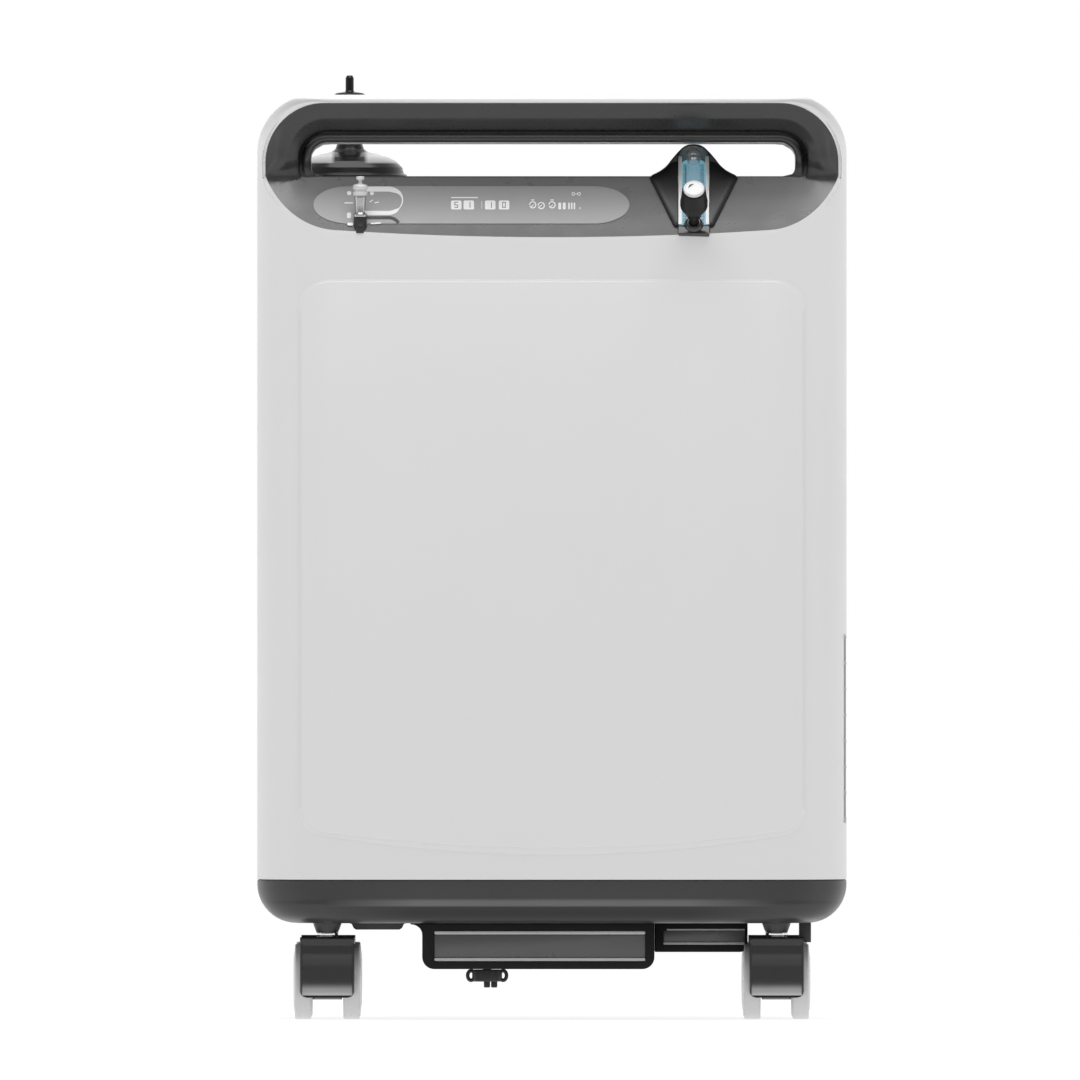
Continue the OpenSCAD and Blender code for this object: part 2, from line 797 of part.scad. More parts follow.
module filter_door() {
    side_gap = 0.6;
    color("silver") {
        difference() {
            translate([door_x - door_w / 2 + side_gap, back_y - door_t, hinge_z])
                cube([door_w - 2 * side_gap, door_t - 0.2, door_h - 5]);
            for (i = [0:9])
                translate([door_x - door_w / 2 + 14, back_y - 10, door_z + 18 + i * 8.4])
                    cube([door_w - 28, 20, 4]);
        }
        translate([door_x, hinge_y, hinge_z]) rotate([0, 90, 0]) {
            cylinder(h = door_w - 2 * side_gap, r = 3, center = true);
            cylinder(h = door_w + 4, r = 1.5, center = true);
        }
    }
}

module filter_foam() {
    color("darkslategray") translate([door_x - door_w / 2 + 9, back_y - 22.5, door_z + 11])
        cube([door_w - 18, 12, door_h - 18]);
}

// ---- Mains inlet, switch and breaker ----

module power_inlet() {
    color("black") difference() {
        union() {
            translate([inlet_x - 13.8, back_y - 20, inlet_z - 10.3]) cube([27.6, 20, 20.6]);
            translate([inlet_x - 17, back_y - 5.2, inlet_z - 13]) cube([34, 2.1, 26]);
        }
        translate([inlet_x - 12, back_y - 16, inlet_z - 8]) cube([24, 30, 16]);
    }
    color("silver") for (x = [-7, 0, 7])
        translate([inlet_x + x - 1, back_y - 17, inlet_z - 2 + (x == 0 ? 3 : -1)]) cube([2, 7.5, 4]);
}

module switch_frame() {
    side = 27.6;
    color("black") difference() {
        translate([switch_x - side / 2, back_y - 20, inlet_z - side / 2]) cube([side, 20, side]);
        translate([switch_x - 9, back_y - 17, inlet_z - 11.5]) cube([18, 30, 23]);
    }
}

module power_switch() {
    color("black") intersection() {
        translate([switch_x - 8.6, back_y - 12, inlet_z - 11]) cube([17.2, 12, 22]);
        through_x(switch_x - 9, switch_x + 9) difference() {
            translate([back_y - 9, inlet_z]) circle(11);
            translate([back_y + 27.6, inlet_z]) circle(30);
        }
    }
}

module breaker_button() {
    color("white") translate([breaker_x, back_y - 0.2, inlet_z]) rotate([90, 0, 0]) {
        cylinder(h = 12, r = 4);
        translate([0, 0, 8]) cylinder(h = 3, r = 6);
    }
}

// ---- Screws in the back ----

module case_screws() {
    color("silver") for (spot = screw_spots) translate([spot[0], back_y - 1, spot[1]]) rotate([90, 0, 0]) {
        cylinder(h = 1.9, r = 3.5);
        cylinder(h = 14, r = 1.5);
    }
}

// ---- Inside: air system ----

comp_x = -30;
comp_y = front_y + 125;
comp_z = 140;
motor_r = 48;
motor_len = 100;
head_len = 28;
shaft_r = 4;
plate_z = 88;

module compressor_motor() {
    color("silver") difference() {
        union() {
            translate([comp_x, comp_y, comp_z]) rotate([0, 90, 0])
                cylinder(h = motor_len, r = motor_r, center = true);
            translate([comp_x - 60, comp_y - 45, plate_z]) cube([120, 90, 6]);
        }
        translate([comp_x, comp_y, comp_z]) rotate([0, 90, 0])
            cylinder(h = motor_len + 2, r = shaft_r + 0.05, center = true);
        for (i = [-5:5])
            translate([comp_x - 4 + i * 8, comp_y - 60, comp_z + 38]) cube([3, 120, 20]);
    }
}

module compressor_heads() {
    x = motor_len / 2 + 0.1;
    color("gray") for (side = [-1, 1]) translate([comp_x + side * x, comp_y, comp_z]) difference() {
        union() {
            rotate([0, side * 90, 0]) cylinder(h = head_len, r = 32);
            translate([side * 15, 0, 20]) cylinder(h = 34, r = 12);
            for (k = [0:3]) translate([side * 15, 0, 34 + k * 5]) cylinder(h = 3, r = 14.5);
            translate([side * 15, 0, 54]) cylinder(h = 8, r = 14.5);
        }
        rotate([0, 90, 0]) cylinder(h = far, r = shaft_r + 0.05, center = true);
    }
}

module compressor_mounts() {
    color("black") for (dx = [-50, 50]) for (dy = [-36, 36])
        translate([comp_x + dx, comp_y + dy, floor_z + 0.05]) cylinder(h = plate_z - floor_z - 0.1, r = 9);
}

module compressor_shaft() {
    length = motor_len + 2 * head_len + 22;
    color("silver") translate([comp_x, comp_y, comp_z]) rotate([0, 90, 0]) {
        cylinder(h = length, r = shaft_r, center = true);
        translate([0, 0, -length / 2]) {
            cylinder(h = 9, r = 10);
            for (k = [0:5]) rotate([0, 0, k * 60]) translate([8, -2, 0]) rotate([20, 0, 0]) cube([20, 4, 7]);
        }
    }
}

bed_x = 142;
bed_r = 36;
bed_dy = 38;
bed_z0 = floor_z + 4.2;
bed_z1 = 380;

module sieve_beds() {
    rim_h = 10;
    color("silver") for (dy = [-bed_dy, bed_dy]) translate([bed_x, comp_y + dy, bed_z0]) {
        cylinder(h = bed_z1 - bed_z0, r = bed_r - 1.5);
        cylinder(h = rim_h, r = bed_r);
        translate([0, 0, bed_z1 - bed_z0 - rim_h]) cylinder(h = rim_h, r = bed_r);
    }
}

tank_x = 62;
tank_y = back_y - 62;
tank_r = 30;

module product_tank() {
    tank_h = 225;
    color("silver") translate([tank_x, tank_y, floor_z + 0.1]) {
        cylinder(h = tank_h, r = tank_r);
        translate([0, 0, tank_h]) cylinder(h = 14, r = 8);
    }
}

module valve_manifold() {
    block_h = 24;
    coil = 18;
    color("gray") translate([bed_x - 20, comp_y - 60, bed_z1 + 0.1]) cube([40, 120, block_h]);
    color("black") for (k = [0:3])
        translate([bed_x, comp_y - 40 + k * 27, bed_z1 + block_h]) {
            cylinder(h = 4, r = 5);
            translate([-coil / 2, -coil / 2, 3]) cube([coil, coil, 26]);
        }
}

fan_z = 226;
fan_side = 120;

module baffle_plate() {
    baffle_t = 3;
    color("dimgray") translate([0, 0, fan_z - baffle_t - 0.1]) linear_extrude(baffle_t) difference() {
        intersection() {
            plan_outline(wall + 1.5);
            translate([-half_w, front_y]) square([body_w, body_d - 32]);
        }
        translate([comp_x, comp_y]) circle(fan_side / 2 - 4);
        for (dy = [-bed_dy, bed_dy]) translate([bed_x, comp_y + dy]) circle(bed_r - 0.5);
        translate([tank_x, tank_y]) circle(tank_r + 1);
        translate([half_w - 14, grille_y0 - 4]) square([20, grille_y1 - grille_y0 + 8]);
    }
}

module fan_frame() {
    depth = 25;
    color("black") translate([comp_x, comp_y, fan_z]) {
        difference() {
            translate([-fan_side / 2, -fan_side / 2, 0]) cube([fan_side, fan_side, depth]);
            translate([0, 0, -1]) cylinder(h = depth + 2, r = fan_side / 2 - 3);
        }
        difference() {
            union() {
                cylinder(h = 5, r = 20);
                for (k = [0:3]) rotate([0, 0, 45 + k * 90])
                    translate([0, -2, 0]) cube([fan_side / 2 - 1, 4, 4]);
            }
            translate([0, 0, -1]) cylinder(h = 10, r = 3.05);
        }
    }
}

module fan_rotor() {
    color("black") translate([comp_x, comp_y, fan_z]) {
        cylinder(h = 8, r = 3);
        translate([0, 0, 6]) cylinder(h = 17, r = 19);
        for (k = [0:6]) rotate([0, 0, k * 360 / 7])
            translate([17, -1.5, 12]) rotate([28, 0, 0]) cube([35, 2, 12]);
    }
}

// ---- Assembly ----

front_shell();
front_panel();
rear_shell();
control_bezel();
handle_cover();
display_overlay();
control_board();
base_tray();
exhaust_box();
exhaust_panel();
duct_box();
wing_screw();
side_grille();
baffle_plate();
case_screws();
caster_sockets();
caster_collars();
caster_body(0);  // caster_front_left_body
caster_axle(0);  // caster_front_left_axle
caster_wheel(0, 1);  // caster_front_left_wheel_in
caster_wheel(0, -1);  // caster_front_left_wheel_out
caster_body(1);  // caster_front_right_body
caster_axle(1);  // caster_front_right_axle
caster_wheel(1, -1);  // caster_front_right_wheel_in
caster_wheel(1, 1);  // caster_front_right_wheel_out
caster_body(2);  // caster_rear_left_body
caster_axle(2);  // caster_rear_left_axle
caster_wheel(2, 1);  // caster_rear_left_wheel_in
caster_wheel(2, -1);  // caster_rear_left_wheel_out
caster_body(3);  // caster_rear_right_body
caster_axle(3);  // caster_rear_right_axle
caster_wheel(3, -1);  // caster_rear_right_wheel_in
caster_wheel(3, 1);  // caster_rear_right_wheel_out
flowmeter_cradle();
flowmeter_block();
flowmeter_scale();
flowmeter_float();
flowmeter_valve();
flow_knob();
flow_knob_cap();
oxygen_outlet();
outlet_tip();
humidifier_bottle();
humidifier_lid();
humidifier_tube();
filter_door();
filter_foam();
power_inlet();
switch_frame();
power_switch();
breaker_button();
compressor_motor();
compressor_heads();
compressor_mounts();
compressor_shaft();
sieve_beds();
product_tank();
valve_manifold();
fan_frame();
fan_rotor();
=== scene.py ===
"""Looks of a stationary oxygen concentrator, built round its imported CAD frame.

Shapes are worked out in millimetres in the CAD's own axes (+Z up, the control side faces -Y)
and turned into metres by one scale when a mesh is made.
"""
import math

import bmesh
import bpy
import numpy as np
from mathutils import Matrix, Vector


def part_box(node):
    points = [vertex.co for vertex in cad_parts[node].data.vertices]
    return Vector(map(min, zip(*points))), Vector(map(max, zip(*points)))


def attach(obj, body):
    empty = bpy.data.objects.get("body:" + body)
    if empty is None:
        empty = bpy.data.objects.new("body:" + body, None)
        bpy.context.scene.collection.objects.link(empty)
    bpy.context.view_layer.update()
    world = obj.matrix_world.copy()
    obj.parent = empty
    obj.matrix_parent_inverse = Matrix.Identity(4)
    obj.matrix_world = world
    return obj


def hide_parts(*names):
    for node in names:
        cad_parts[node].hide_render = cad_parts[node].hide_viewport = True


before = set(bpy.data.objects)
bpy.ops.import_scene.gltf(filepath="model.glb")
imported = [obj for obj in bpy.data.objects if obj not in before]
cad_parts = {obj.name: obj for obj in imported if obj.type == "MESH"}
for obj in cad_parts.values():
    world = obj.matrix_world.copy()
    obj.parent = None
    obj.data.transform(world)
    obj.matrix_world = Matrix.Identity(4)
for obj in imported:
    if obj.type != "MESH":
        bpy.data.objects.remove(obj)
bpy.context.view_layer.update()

MM = 0.001


# ---------------------------------------------------------------- dimensions from the frame

def box_mm(node):
    """Lowest and highest corner of a CAD node, in millimetres."""
    low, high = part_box(node)
    return np.array(low) / MM, np.array(high) / MM


SHELL_LOW, SHELL_HIGH = box_mm("front_shell")
_, REAR_HIGH = box_mm("rear_shell")
_, BEZEL_HIGH = box_mm("control_bezel")
COVER_LOW, COVER_HIGH = box_mm("handle_cover")

HALF_W = SHELL_HIGH[0]
FRONT_Y = SHELL_LOW[1]
SEAM_Y = SHELL_HIGH[1]
BACK_Y = REAR_HIGH[1]
SPLIT_Z = SHELL_LOW[2]
TOP_Z = SHELL_HIGH[2]
DECK_Z = REAR_HIGH[2]
TRAY_DEPTH = 29
BASE_Z = SPLIT_Z - TRAY_DEPTH
GRIP_BACK_Y = COVER_HIGH[1]
BEZEL_HALF_W = BEZEL_HIGH[0]
BEZEL_TOP = BEZEL_HIGH[2]

# Radii of the casing and its control slope, as in the CAD design
CORNER_R = 54
CROWN_R = 2600
REAR_R = 32
TOP_R = 38
BEZEL_R = 39
DECK_EDGE_R = 8
SWEEP_R = TOP_Z - DECK_Z
SLOPE_Z = 518.6
SLOPE_DEG = 50
SLOPE_TAN = math.tan(math.radians(SLOPE_DEG))
SHELL_T = 2.5

# Hand opening
GRIP_LEFT, GRIP_RIGHT = -159.6, 161.3
GRIP_LOW, GRIP_HIGH = 559.2, 581.5
GRIP_LOW_R, GRIP_HIGH_R = 6, 10.6

CORNER_X = HALF_W - CORNER_R
CROWN_Y = FRONT_Y + CROWN_R
CORNER_Y = CROWN_Y - math.sqrt((CROWN_R - CORNER_R) ** 2 - CORNER_X ** 2)
CROWN_DEG = math.degrees(math.atan2(CORNER_Y - CROWN_Y, CORNER_X))


# ---------------------------------------------------------------- small geometry tools

def arc(centre, radius, a0, a1, steps):
    """Points of an arc from angle a0 to a1, in degrees, both ends included."""
    t = np.radians(np.linspace(a0, a1, steps + 1))
    return np.stack([centre[0] + radius * np.cos(t), centre[1] + radius * np.sin(t)], 1)


def line(a, b, steps):
    """Evenly spaced points from a to b, both ends included."""
    t = np.linspace(0, 1, steps + 1)[:, None]
    return np.array(a, float) * (1 - t) + np.array(b, float) * t


def chain(*parts):
    """Joins polylines end to end, dropping each repeated joint."""
    out = [np.asarray(parts[0], float)]
    for part in parts[1:]:
        out.append(np.asarray(part, float)[1:])
    return np.concatenate(out)


def smooth01(x):
    """Smooth step from 0 to 1 as x goes from 0 to 1."""
    x = np.clip(x, 0, 1)
    return x * x * (3 - 2 * x)


def mirrored(points):
    """The points in reverse order, on the other side of the middle."""
    other = points[::-1].copy()
    other[:, 0] *= -1
    return other


def at_height(flat, z):
    """Flat (x, y) points with one height added."""
    return np.column_stack([flat, np.full(len(flat), z)])


def rounded_path(points, radius, steps=5):
    """A polyline with its inner corners rounded. Each point is (a, b) or (a, b, own radius)."""
    out = []
    pts = [np.array(p[:2], float) for p in points]
    for i, p in enumerate(pts):
        r = points[i][2] if len(points[i]) > 2 else radius
        if i in (0, len(pts) - 1) or r <= 0:
            out.append(p)
            continue
        u, v = pts[i - 1] - p, pts[i + 1] - p
        lu, lv = np.linalg.norm(u), np.linalg.norm(v)
        u, v = u / lu, v / lv
        half = math.acos(float(np.clip(u @ v, -1, 1))) / 2
        if half > math.radians(88):
            out.append(p)
            continue
        reach = min(r / math.tan(half), 0.49 * lu, 0.49 * lv)
        r = reach * math.tan(half)
        centre = p + (u + v) / np.linalg.norm(u + v) * (r / math.sin(half))
        start, end = p + u * reach - centre, p + v * reach - centre
        turn = math.atan2(start[0] * end[1] - start[1] * end[0], float(start @ end))
        for k in range(steps + 1):
            t = turn * k / steps
            c, s = math.cos(t), math.sin(t)
            out.append(centre + np.array([c * start[0] - s * start[1], s * start[0] + c * start[1]]))
    return np.array(out)


def slope_frame():
    """Matrix from the control slope's own axes (x across, y up it, z out of it) to the CAD's."""
    return Matrix.Translation((0, FRONT_Y, SLOPE_Z)) @ Matrix.Rotation(math.radians(SLOPE_DEG), 4, "X")


class Shape:
    """Vertices and faces gathered in millimetres, then made into one object."""

    def __init__(self):
        self.verts = []
        self.faces = []

    def grid(self, rows, close_u=False, close_v=False, place=None):
        """Quads over rows of points. close_u joins each row's ends, close_v the last row to the first."""
        rows = np.asarray(rows, float)
        nv, nu = rows.shape[:2]
        base = len(self.verts)
        for p in rows.reshape(-1, 3):
            self.verts.append(tuple(place @ Vector(p)) if place else tuple(p))
        for j in range(nv if close_v else nv - 1):
            for i in range(nu if close_u else nu - 1):
                a, b = j, (j + 1) % nv
                c, d = i, (i + 1) % nu
                self.faces.append([base + a * nu + c, base + a * nu + d, base + b * nu + d, base + b * nu + c])
        return self

    def cap(self, points, place=None):
        """One flat face through the points."""
        base = len(self.verts)
        for p in points:
            self.verts.append(tuple(place @ Vector(p)) if place else tuple(p))
        self.faces.append(list(range(base, base + len(points))))
        return self

    def lathe(self, profile, segments=64, place=None):
        """Turns a (radius, height) profile round Z. Ends on the axis are closed by a fan."""
        profile = np.asarray(profile, float)
        t = np.linspace(0, 2 * math.pi, segments, endpoint=False)
        rows = [np.stack([r * np.cos(t), r * np.sin(t), np.full_like(t, z)], 1) for r, z in profile]
        return self.grid(rows, close_u=True, place=place)

    def prism(self, outline, low, high, axis="z", place=None):
        """A closed prism of a flat outline between two heights along an axis."""
        outline = np.asarray(outline, float)

        def lift(h):
            col = np.full(len(outline), float(h))
            if axis == "z":
                return np.stack([outline[:, 0], outline[:, 1], col], 1)
            if axis == "y":
                return np.stack([outline[:, 0], col, outline[:, 1]], 1)
            return np.stack([col, outline[:, 0], outline[:, 1]], 1)

        self.grid([lift(low), lift(high)], close_u=True, place=place)
        self.cap(lift(low)[::-1], place)
        self.cap(lift(high), place)
        return self

    def block(self, low, high, place=None):
        """A box between two corners."""
        x0, y0, z0 = low
        x1, y1, z1 = high
        return self.prism([(x0, y0), (x1, y0), (x1, y1), (x0, y1)], z0, z1, place=place)

    def tube(self, path, radius, sides=12, place=None):
        """A round tube along a list of points, with closed ends."""
        path = np.asarray(path, float)
        radii = np.broadcast_to(radius, (len(path),))
        heading = np.gradient(path, axis=0)
        heading /= np.linalg.norm(heading, axis=1)[:, None]
        up = np.array([0, 0, 1.0]) if abs(heading[0][2]) < 0.9 else np.array([1.0, 0, 0])
        rows = []
        for p, h, r in zip(path, heading, radii):
            side = np.cross(up, h)
            side /= np.linalg.norm(side)
            up = np.cross(h, side)
            t = np.linspace(0, 2 * math.pi, sides, endpoint=False)
            rows.append(p + r * (np.cos(t)[:, None] * side + np.sin(t)[:, None] * up))
        self.grid(rows, close_u=True, place=place)
        self.cap(rows[0][::-1], place)
        self.cap(rows[-1], place)
        return self

    def build(self, name, material, weld=0.01, crease_deg=32, bevel=0, bevel_deg=30, thick=0):
        """Makes the object in metres, with welded points, rounded edges and a wall where asked."""
        mesh = bpy.data.meshes.new(name)
        mesh.from_pydata([Vector(v) * MM for v in self.verts], [], self.faces)
        bm = bmesh.new()
        bm.from_mesh(mesh)
        bmesh.ops.remove_doubles(bm, verts=bm.verts, dist=weld * MM)
        bmesh.ops.dissolve_degenerate(bm, dist=0.001 * MM, edges=bm.edges)
        bmesh.ops.recalc_face_normals(bm, faces=bm.faces)
        bm.to_mesh(mesh)
        bm.free()
        obj = bpy.data.objects.new(name, mesh)
        bpy.context.scene.collection.objects.link(obj)
        mesh.materials.append(material)
        if bevel:
            mod = obj.modifiers.new("edges", "BEVEL")
            mod.width = bevel * MM
            mod.segments = 3
            mod.limit_method = "ANGLE"
            mod.angle_limit = math.radians(bevel_deg)
            mod.harden_normals = False
            mod.use_clamp_overlap = True
        if thick:
            mod = obj.modifiers.new("wall", "SOLIDIFY")
            mod.thickness = thick * MM
            mod.offset = -1
        settle(obj, crease_deg)
        return obj


def settle(obj, crease_deg=32):
    """Applies an object's modifiers, then shades it smooth but for its creases."""
    if obj.modifiers:
        dg = bpy.context.evaluated_depsgraph_get()
        fresh = bpy.data.meshes.new_from_object(obj.evaluated_get(dg), depsgraph=dg)
        obj.modifiers.clear()
        old = obj.data
        obj.data = fresh
        bpy.data.meshes.remove(old)
    obj.data.name = obj.name
    for poly in obj.data.polygons:
        poly.use_smooth = True
    obj.data.set_sharp_from_angle(angle=math.radians(crease_deg))
    return obj


def cut(obj, *cutters, crease_deg=32):
    """Subtracts closed shapes from an object and removes them."""
    for tool in cutters:
        mod = obj.modifiers.new("cut", "BOOLEAN")
        mod.operation = "DIFFERENCE"
        mod.solver = "EXACT"
        mod.object = tool
    settle(obj, crease_deg)
    for tool in cutters:
        bpy.data.objects.remove(tool)
    return obj


def put(obj, body, slot, *nodes):
    """Puts a piece under its body and hides the CAD nodes that it stands for. The slot argument is not used."""
    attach(obj, body)
    if nodes:
        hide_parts(*nodes)
    return obj


def ring_prism(shape, outline, low, high, axis, edge=0.8, place=None):
    """A prism whose two end edges are rounded by a small chamfered step."""
    outline = np.asarray(outline, float)
    centre = outline.mean(0)
    span = np.abs(outline - centre).max(0)

    def lift(h, inset):
        flat = centre + (outline - centre) * (1 - inset / span)
        col = np.full(len(flat), float(h))
        order = {"x": (col, flat[:, 0], flat[:, 1]), "y": (flat[:, 0], col, flat[:, 1]),
                 "z": (flat[:, 0], flat[:, 1], col)}[axis]
        return np.stack(order, 1)

    steps = [(0.0, edge), (0.3 * edge, 0.3 * edge), (edge, 0.0)]
    rows = [lift(low + d, i) for d, i in steps] + [lift(high - d, i) for d, i in steps[::-1]]
    shape.grid(rows, close_u=True, place=place)
    shape.cap(rows[0][::-1], place)
    shape.cap(rows[-1], place)
    return shape


def round_rect(x0, z0, x1, z1, r, steps=6):
    """A rectangle with rounded corners. r is one radius or four, from the lower left, anticlockwise."""
    r = (r,) * 4 if isinstance(r, (int, float)) else r
    return np.concatenate([
        arc((x0 + r[0], z0 + r[0]), r[0], 180, 270, steps), arc((x1 - r[1], z0 + r[1]), r[1], 270, 360, steps),
        arc((x1 - r[2], z1 - r[2]), r[2], 0, 90, steps), arc((x0 + r[3], z1 - r[3]), r[3], 90, 180, steps)])


# ---------------------------------------------------------------- materials

def node_tree(name):
    """A new material's tree with its Principled shader and object coordinates."""
    mat = bpy.data.materials.new(name)
    mat.use_nodes = True
    tree = mat.node_tree
    shader = tree.nodes["Principled BSDF"]
    coords = tree.nodes.new("ShaderNodeTexCoord")
    return mat, tree, shader, coords.outputs["Object"]


def noise(tree, coords, scale, detail):
    """A noise texture's value."""
    node = tree.nodes.new("ShaderNodeTexNoise")
    node.inputs["Scale"].default_value = scale
    node.inputs["Detail"].default_value = detail
    tree.links.new(coords, node.inputs["Vector"])
    return node.outputs["Fac"]


def spread(tree, value, low, high, from_low=0.3, from_high=0.7):
    """Maps a value to the range from low to high."""
    node = tree.nodes.new("ShaderNodeMapRange")
    node.inputs["From Min"].default_value = from_low
    node.inputs["From Max"].default_value = from_high
    node.inputs["To Min"].default_value = low
    node.inputs["To Max"].default_value = high
    tree.links.new(value, node.inputs["Value"])
    return node.outputs["Result"]


def two_tone(tree, value, dark, light):
    """A colour between two, by a value from 0 to 1."""
    node = tree.nodes.new("ShaderNodeMix")
    node.data_type = "RGBA"
    node.inputs["A"].default_value = (*dark, 1)
    node.inputs["B"].default_value = (*light, 1)
    tree.links.new(value, node.inputs["Factor"])
    return node.outputs["Result"]


def bump(tree, shader, height, distance, strength):
    """Roughens a shader's surface by a height value."""
    node = tree.nodes.new("ShaderNodeBump")
    node.inputs["Strength"].default_value = strength
    node.inputs["Distance"].default_value = distance
    tree.links.new(height, node.inputs["Height"])
    tree.links.new(node.outputs["Normal"], shader.inputs["Normal"])


def surface(name, color, rough=0.4, vary=0.04, rough_vary=0.05, grain=900.0, grain_depth=0.00003,
            grain_strength=0.15, metallic=0.0, coat=0.0, coat_rough=0.1, specular=0.5, patch=14.0,
            wear=0.0):
    """A moulded or cast surface: cloudy colour, uneven gloss, fine grain and optional pale edges."""
    mat, tree, shader, coords = node_tree(name)
    cloud = spread(tree, noise(tree, coords, patch, 4), 0, 1)
    dark = [c * (1 - vary) for c in color]
    light = [min(1.0, c * (1 + vary)) for c in color]
    tone = two_tone(tree, cloud, dark, light)
    if wear:
        geometry = tree.nodes.new("ShaderNodeNewGeometry")
        edge = spread(tree, geometry.outputs["Pointiness"], 0, wear, 0.52, 0.6)
        mix = tree.nodes.new("ShaderNodeMix")
        mix.data_type = "RGBA"
        mix.inputs["B"].default_value = (*[min(1.0, c * 1.8 + 0.05) for c in color], 1)
        tree.links.new(edge, mix.inputs["Factor"])
        tree.links.new(tone, mix.inputs["A"])
        tone = mix.outputs["Result"]
    tree.links.new(tone, shader.inputs["Base Color"])
    gloss = spread(tree, noise(tree, coords, patch * 5, 3), max(0.02, rough - rough_vary), rough + rough_vary)
    tree.links.new(gloss, shader.inputs["Roughness"])
    bump(tree, shader, noise(tree, coords, grain, 3), grain_depth, grain_strength)
    shader.inputs["Metallic"].default_value = metallic
    shader.inputs["Coat Weight"].default_value = coat
    shader.inputs["Coat Roughness"].default_value = coat_rough
    shader.inputs["Specular IOR Level"].default_value = specular
    return mat


def clear_plastic(name, color, alpha, rough=0.04, ior=1.49):
    """Clear moulded plastic with faint flow marks."""
    mat, tree, shader, coords = node_tree(name)
    tree.links.new(two_tone(tree, spread(tree, noise(tree, coords, 30, 3), 0, 1),
                            [c * 0.97 for c in color], color), shader.inputs["Base Color"])
    gloss = spread(tree, noise(tree, coords, 60, 2), rough, rough + 0.05)
    tree.links.new(gloss, shader.inputs["Roughness"])
    bump(tree, shader, noise(tree, coords, 120, 1), 0.00005, 0.05)
    shader.inputs["IOR"].default_value = ior
    shader.inputs["Alpha"].default_value = alpha
    return mat


def tint(mat, stops, up=None, reach=None):
    """Multiplies a surface's colour by a level that depends on height in metres.

    up limits it to faces that look upward, as a pair of normal heights; reach fades it out on either side of a
    place and its mirror image, as the place and the two distances from it."""
    tree = mat.node_tree
    shader = tree.nodes["Principled BSDF"]
    base = shader.inputs["Base Color"].links[0].from_socket
    coords = tree.nodes.new("ShaderNodeTexCoord")
    split = tree.nodes.new("ShaderNodeSeparateXYZ")
    tree.links.new(coords.outputs["Object"], split.inputs["Vector"])
    low, high = stops[0][0], stops[-1][0]
    span = tree.nodes.new("ShaderNodeMapRange")
    span.inputs["From Min"].default_value = low
    span.inputs["From Max"].default_value = high
    tree.links.new(split.outputs["Z"], span.inputs["Value"])
    ramp = tree.nodes.new("ShaderNodeValToRGB")
    ramp.color_ramp.interpolation = "EASE"
    ends = ramp.color_ramp.elements
    top = max(level for _, level in stops)
    ends[0].color = (*[stops[0][1] / top] * 3, 1)
    ends[1].color = (*[stops[-1][1] / top] * 3, 1)
    for at, level in stops[1:-1]:
        ramp.color_ramp.elements.new((at - low) / (high - low)).color = (*[level / top] * 3, 1)
    tree.links.new(span.outputs["Result"], ramp.inputs["Fac"])
    scaled = tree.nodes.new("ShaderNodeVectorMath")
    scaled.operation = "SCALE"
    scaled.inputs["Scale"].default_value = top
    tree.links.new(ramp.outputs["Color"], scaled.inputs[0])
    tinted = tree.nodes.new("ShaderNodeVectorMath")
    tinted.operation = "MULTIPLY"
    tree.links.new(base, tinted.inputs[0])
    tree.links.new(scaled.outputs["Vector"], tinted.inputs[1])
    mask = None
    if up:
        facing = tree.nodes.new("ShaderNodeSeparateXYZ")
        tree.links.new(coords.outputs["Normal"], facing.inputs["Vector"])
        mask = spread(tree, facing.outputs["Z"], 0, 1, *up)
    if reach:
        value = split.outputs["X"]
        for centre in (0.0, reach[0]):
            away = tree.nodes.new("ShaderNodeMath")
            away.operation = "SUBTRACT"
            away.inputs[1].default_value = centre
            tree.links.new(value, away.inputs[0])
            side = tree.nodes.new("ShaderNodeMath")
            side.operation = "ABSOLUTE"
            tree.links.new(away.outputs["Value"], side.inputs[0])
            value = side.outputs["Value"]
        mask = spread(tree, value, 1, 0, *reach[1:])
    mix = tree.nodes.new("ShaderNodeMix")
    mix.data_type = "RGBA"
    tree.links.new(base, mix.inputs["A"])
    tree.links.new(tinted.outputs["Vector"], mix.inputs["B"])
    mix.inputs["Factor"].default_value = 1.0
    if mask:
        tree.links.new(mask, mix.inputs["Factor"])
    tree.links.new(mix.outputs["Result"], shader.inputs["Base Color"])


SHELL = surface("shell_white", (0.74, 0.74, 0.74), rough=0.38, vary=0.008, grain=2200, grain_strength=0.06,
                patch=5)
PANEL = surface("panel_white", (0.75, 0.75, 0.75), rough=0.34, vary=0.008, grain=2600,
                grain_strength=0.04, patch=6)
BEZEL = surface("bezel_grey", (0.03, 0.03, 0.03), rough=0.3, vary=0.03, grain=1500, grain_strength=0.12)
TRAY = surface("tray_grey", (0.042, 0.042, 0.042), rough=0.34, specular=0.35, vary=0.04, grain=1400,
               grain_strength=0.14, wear=0.15)
TRAY_PANEL = surface("tray_panel_grey", (0.085, 0.085, 0.086), rough=0.3, vary=0.04, grain=1600)
GLOSS_BLACK = surface("gloss_black", (0.012, 0.012, 0.013), rough=0.12, vary=0.1, grain=500,
                      grain_strength=0.02, coat=0.6, coat_rough=0.05)
BLACK = surface("black_plastic", (0.018, 0.018, 0.019), rough=0.38, vary=0.1, grain=1500)
WHEEL = surface("wheel_grey", (0.6, 0.6, 0.61), rough=0.3, vary=0.03, grain=700, grain_strength=0.08,
                wear=0.1)
STEEL = surface("steel", (0.55, 0.55, 0.56), rough=0.25, vary=0.05, metallic=1.0, grain=1200)
CHROME = surface("chrome", (0.86, 0.86, 0.87), rough=0.06, vary=0.02, rough_vary=0.02, metallic=1.0,
                 grain=400, grain_strength=0.02)
OVERLAY = surface("overlay_grey", (0.34, 0.34, 0.34), rough=0.34, vary=0.015, grain=1800, grain_strength=0.05)
PRINT_WHITE = surface("print_white", (0.9, 0.9, 0.9), rough=0.35, vary=0.02)
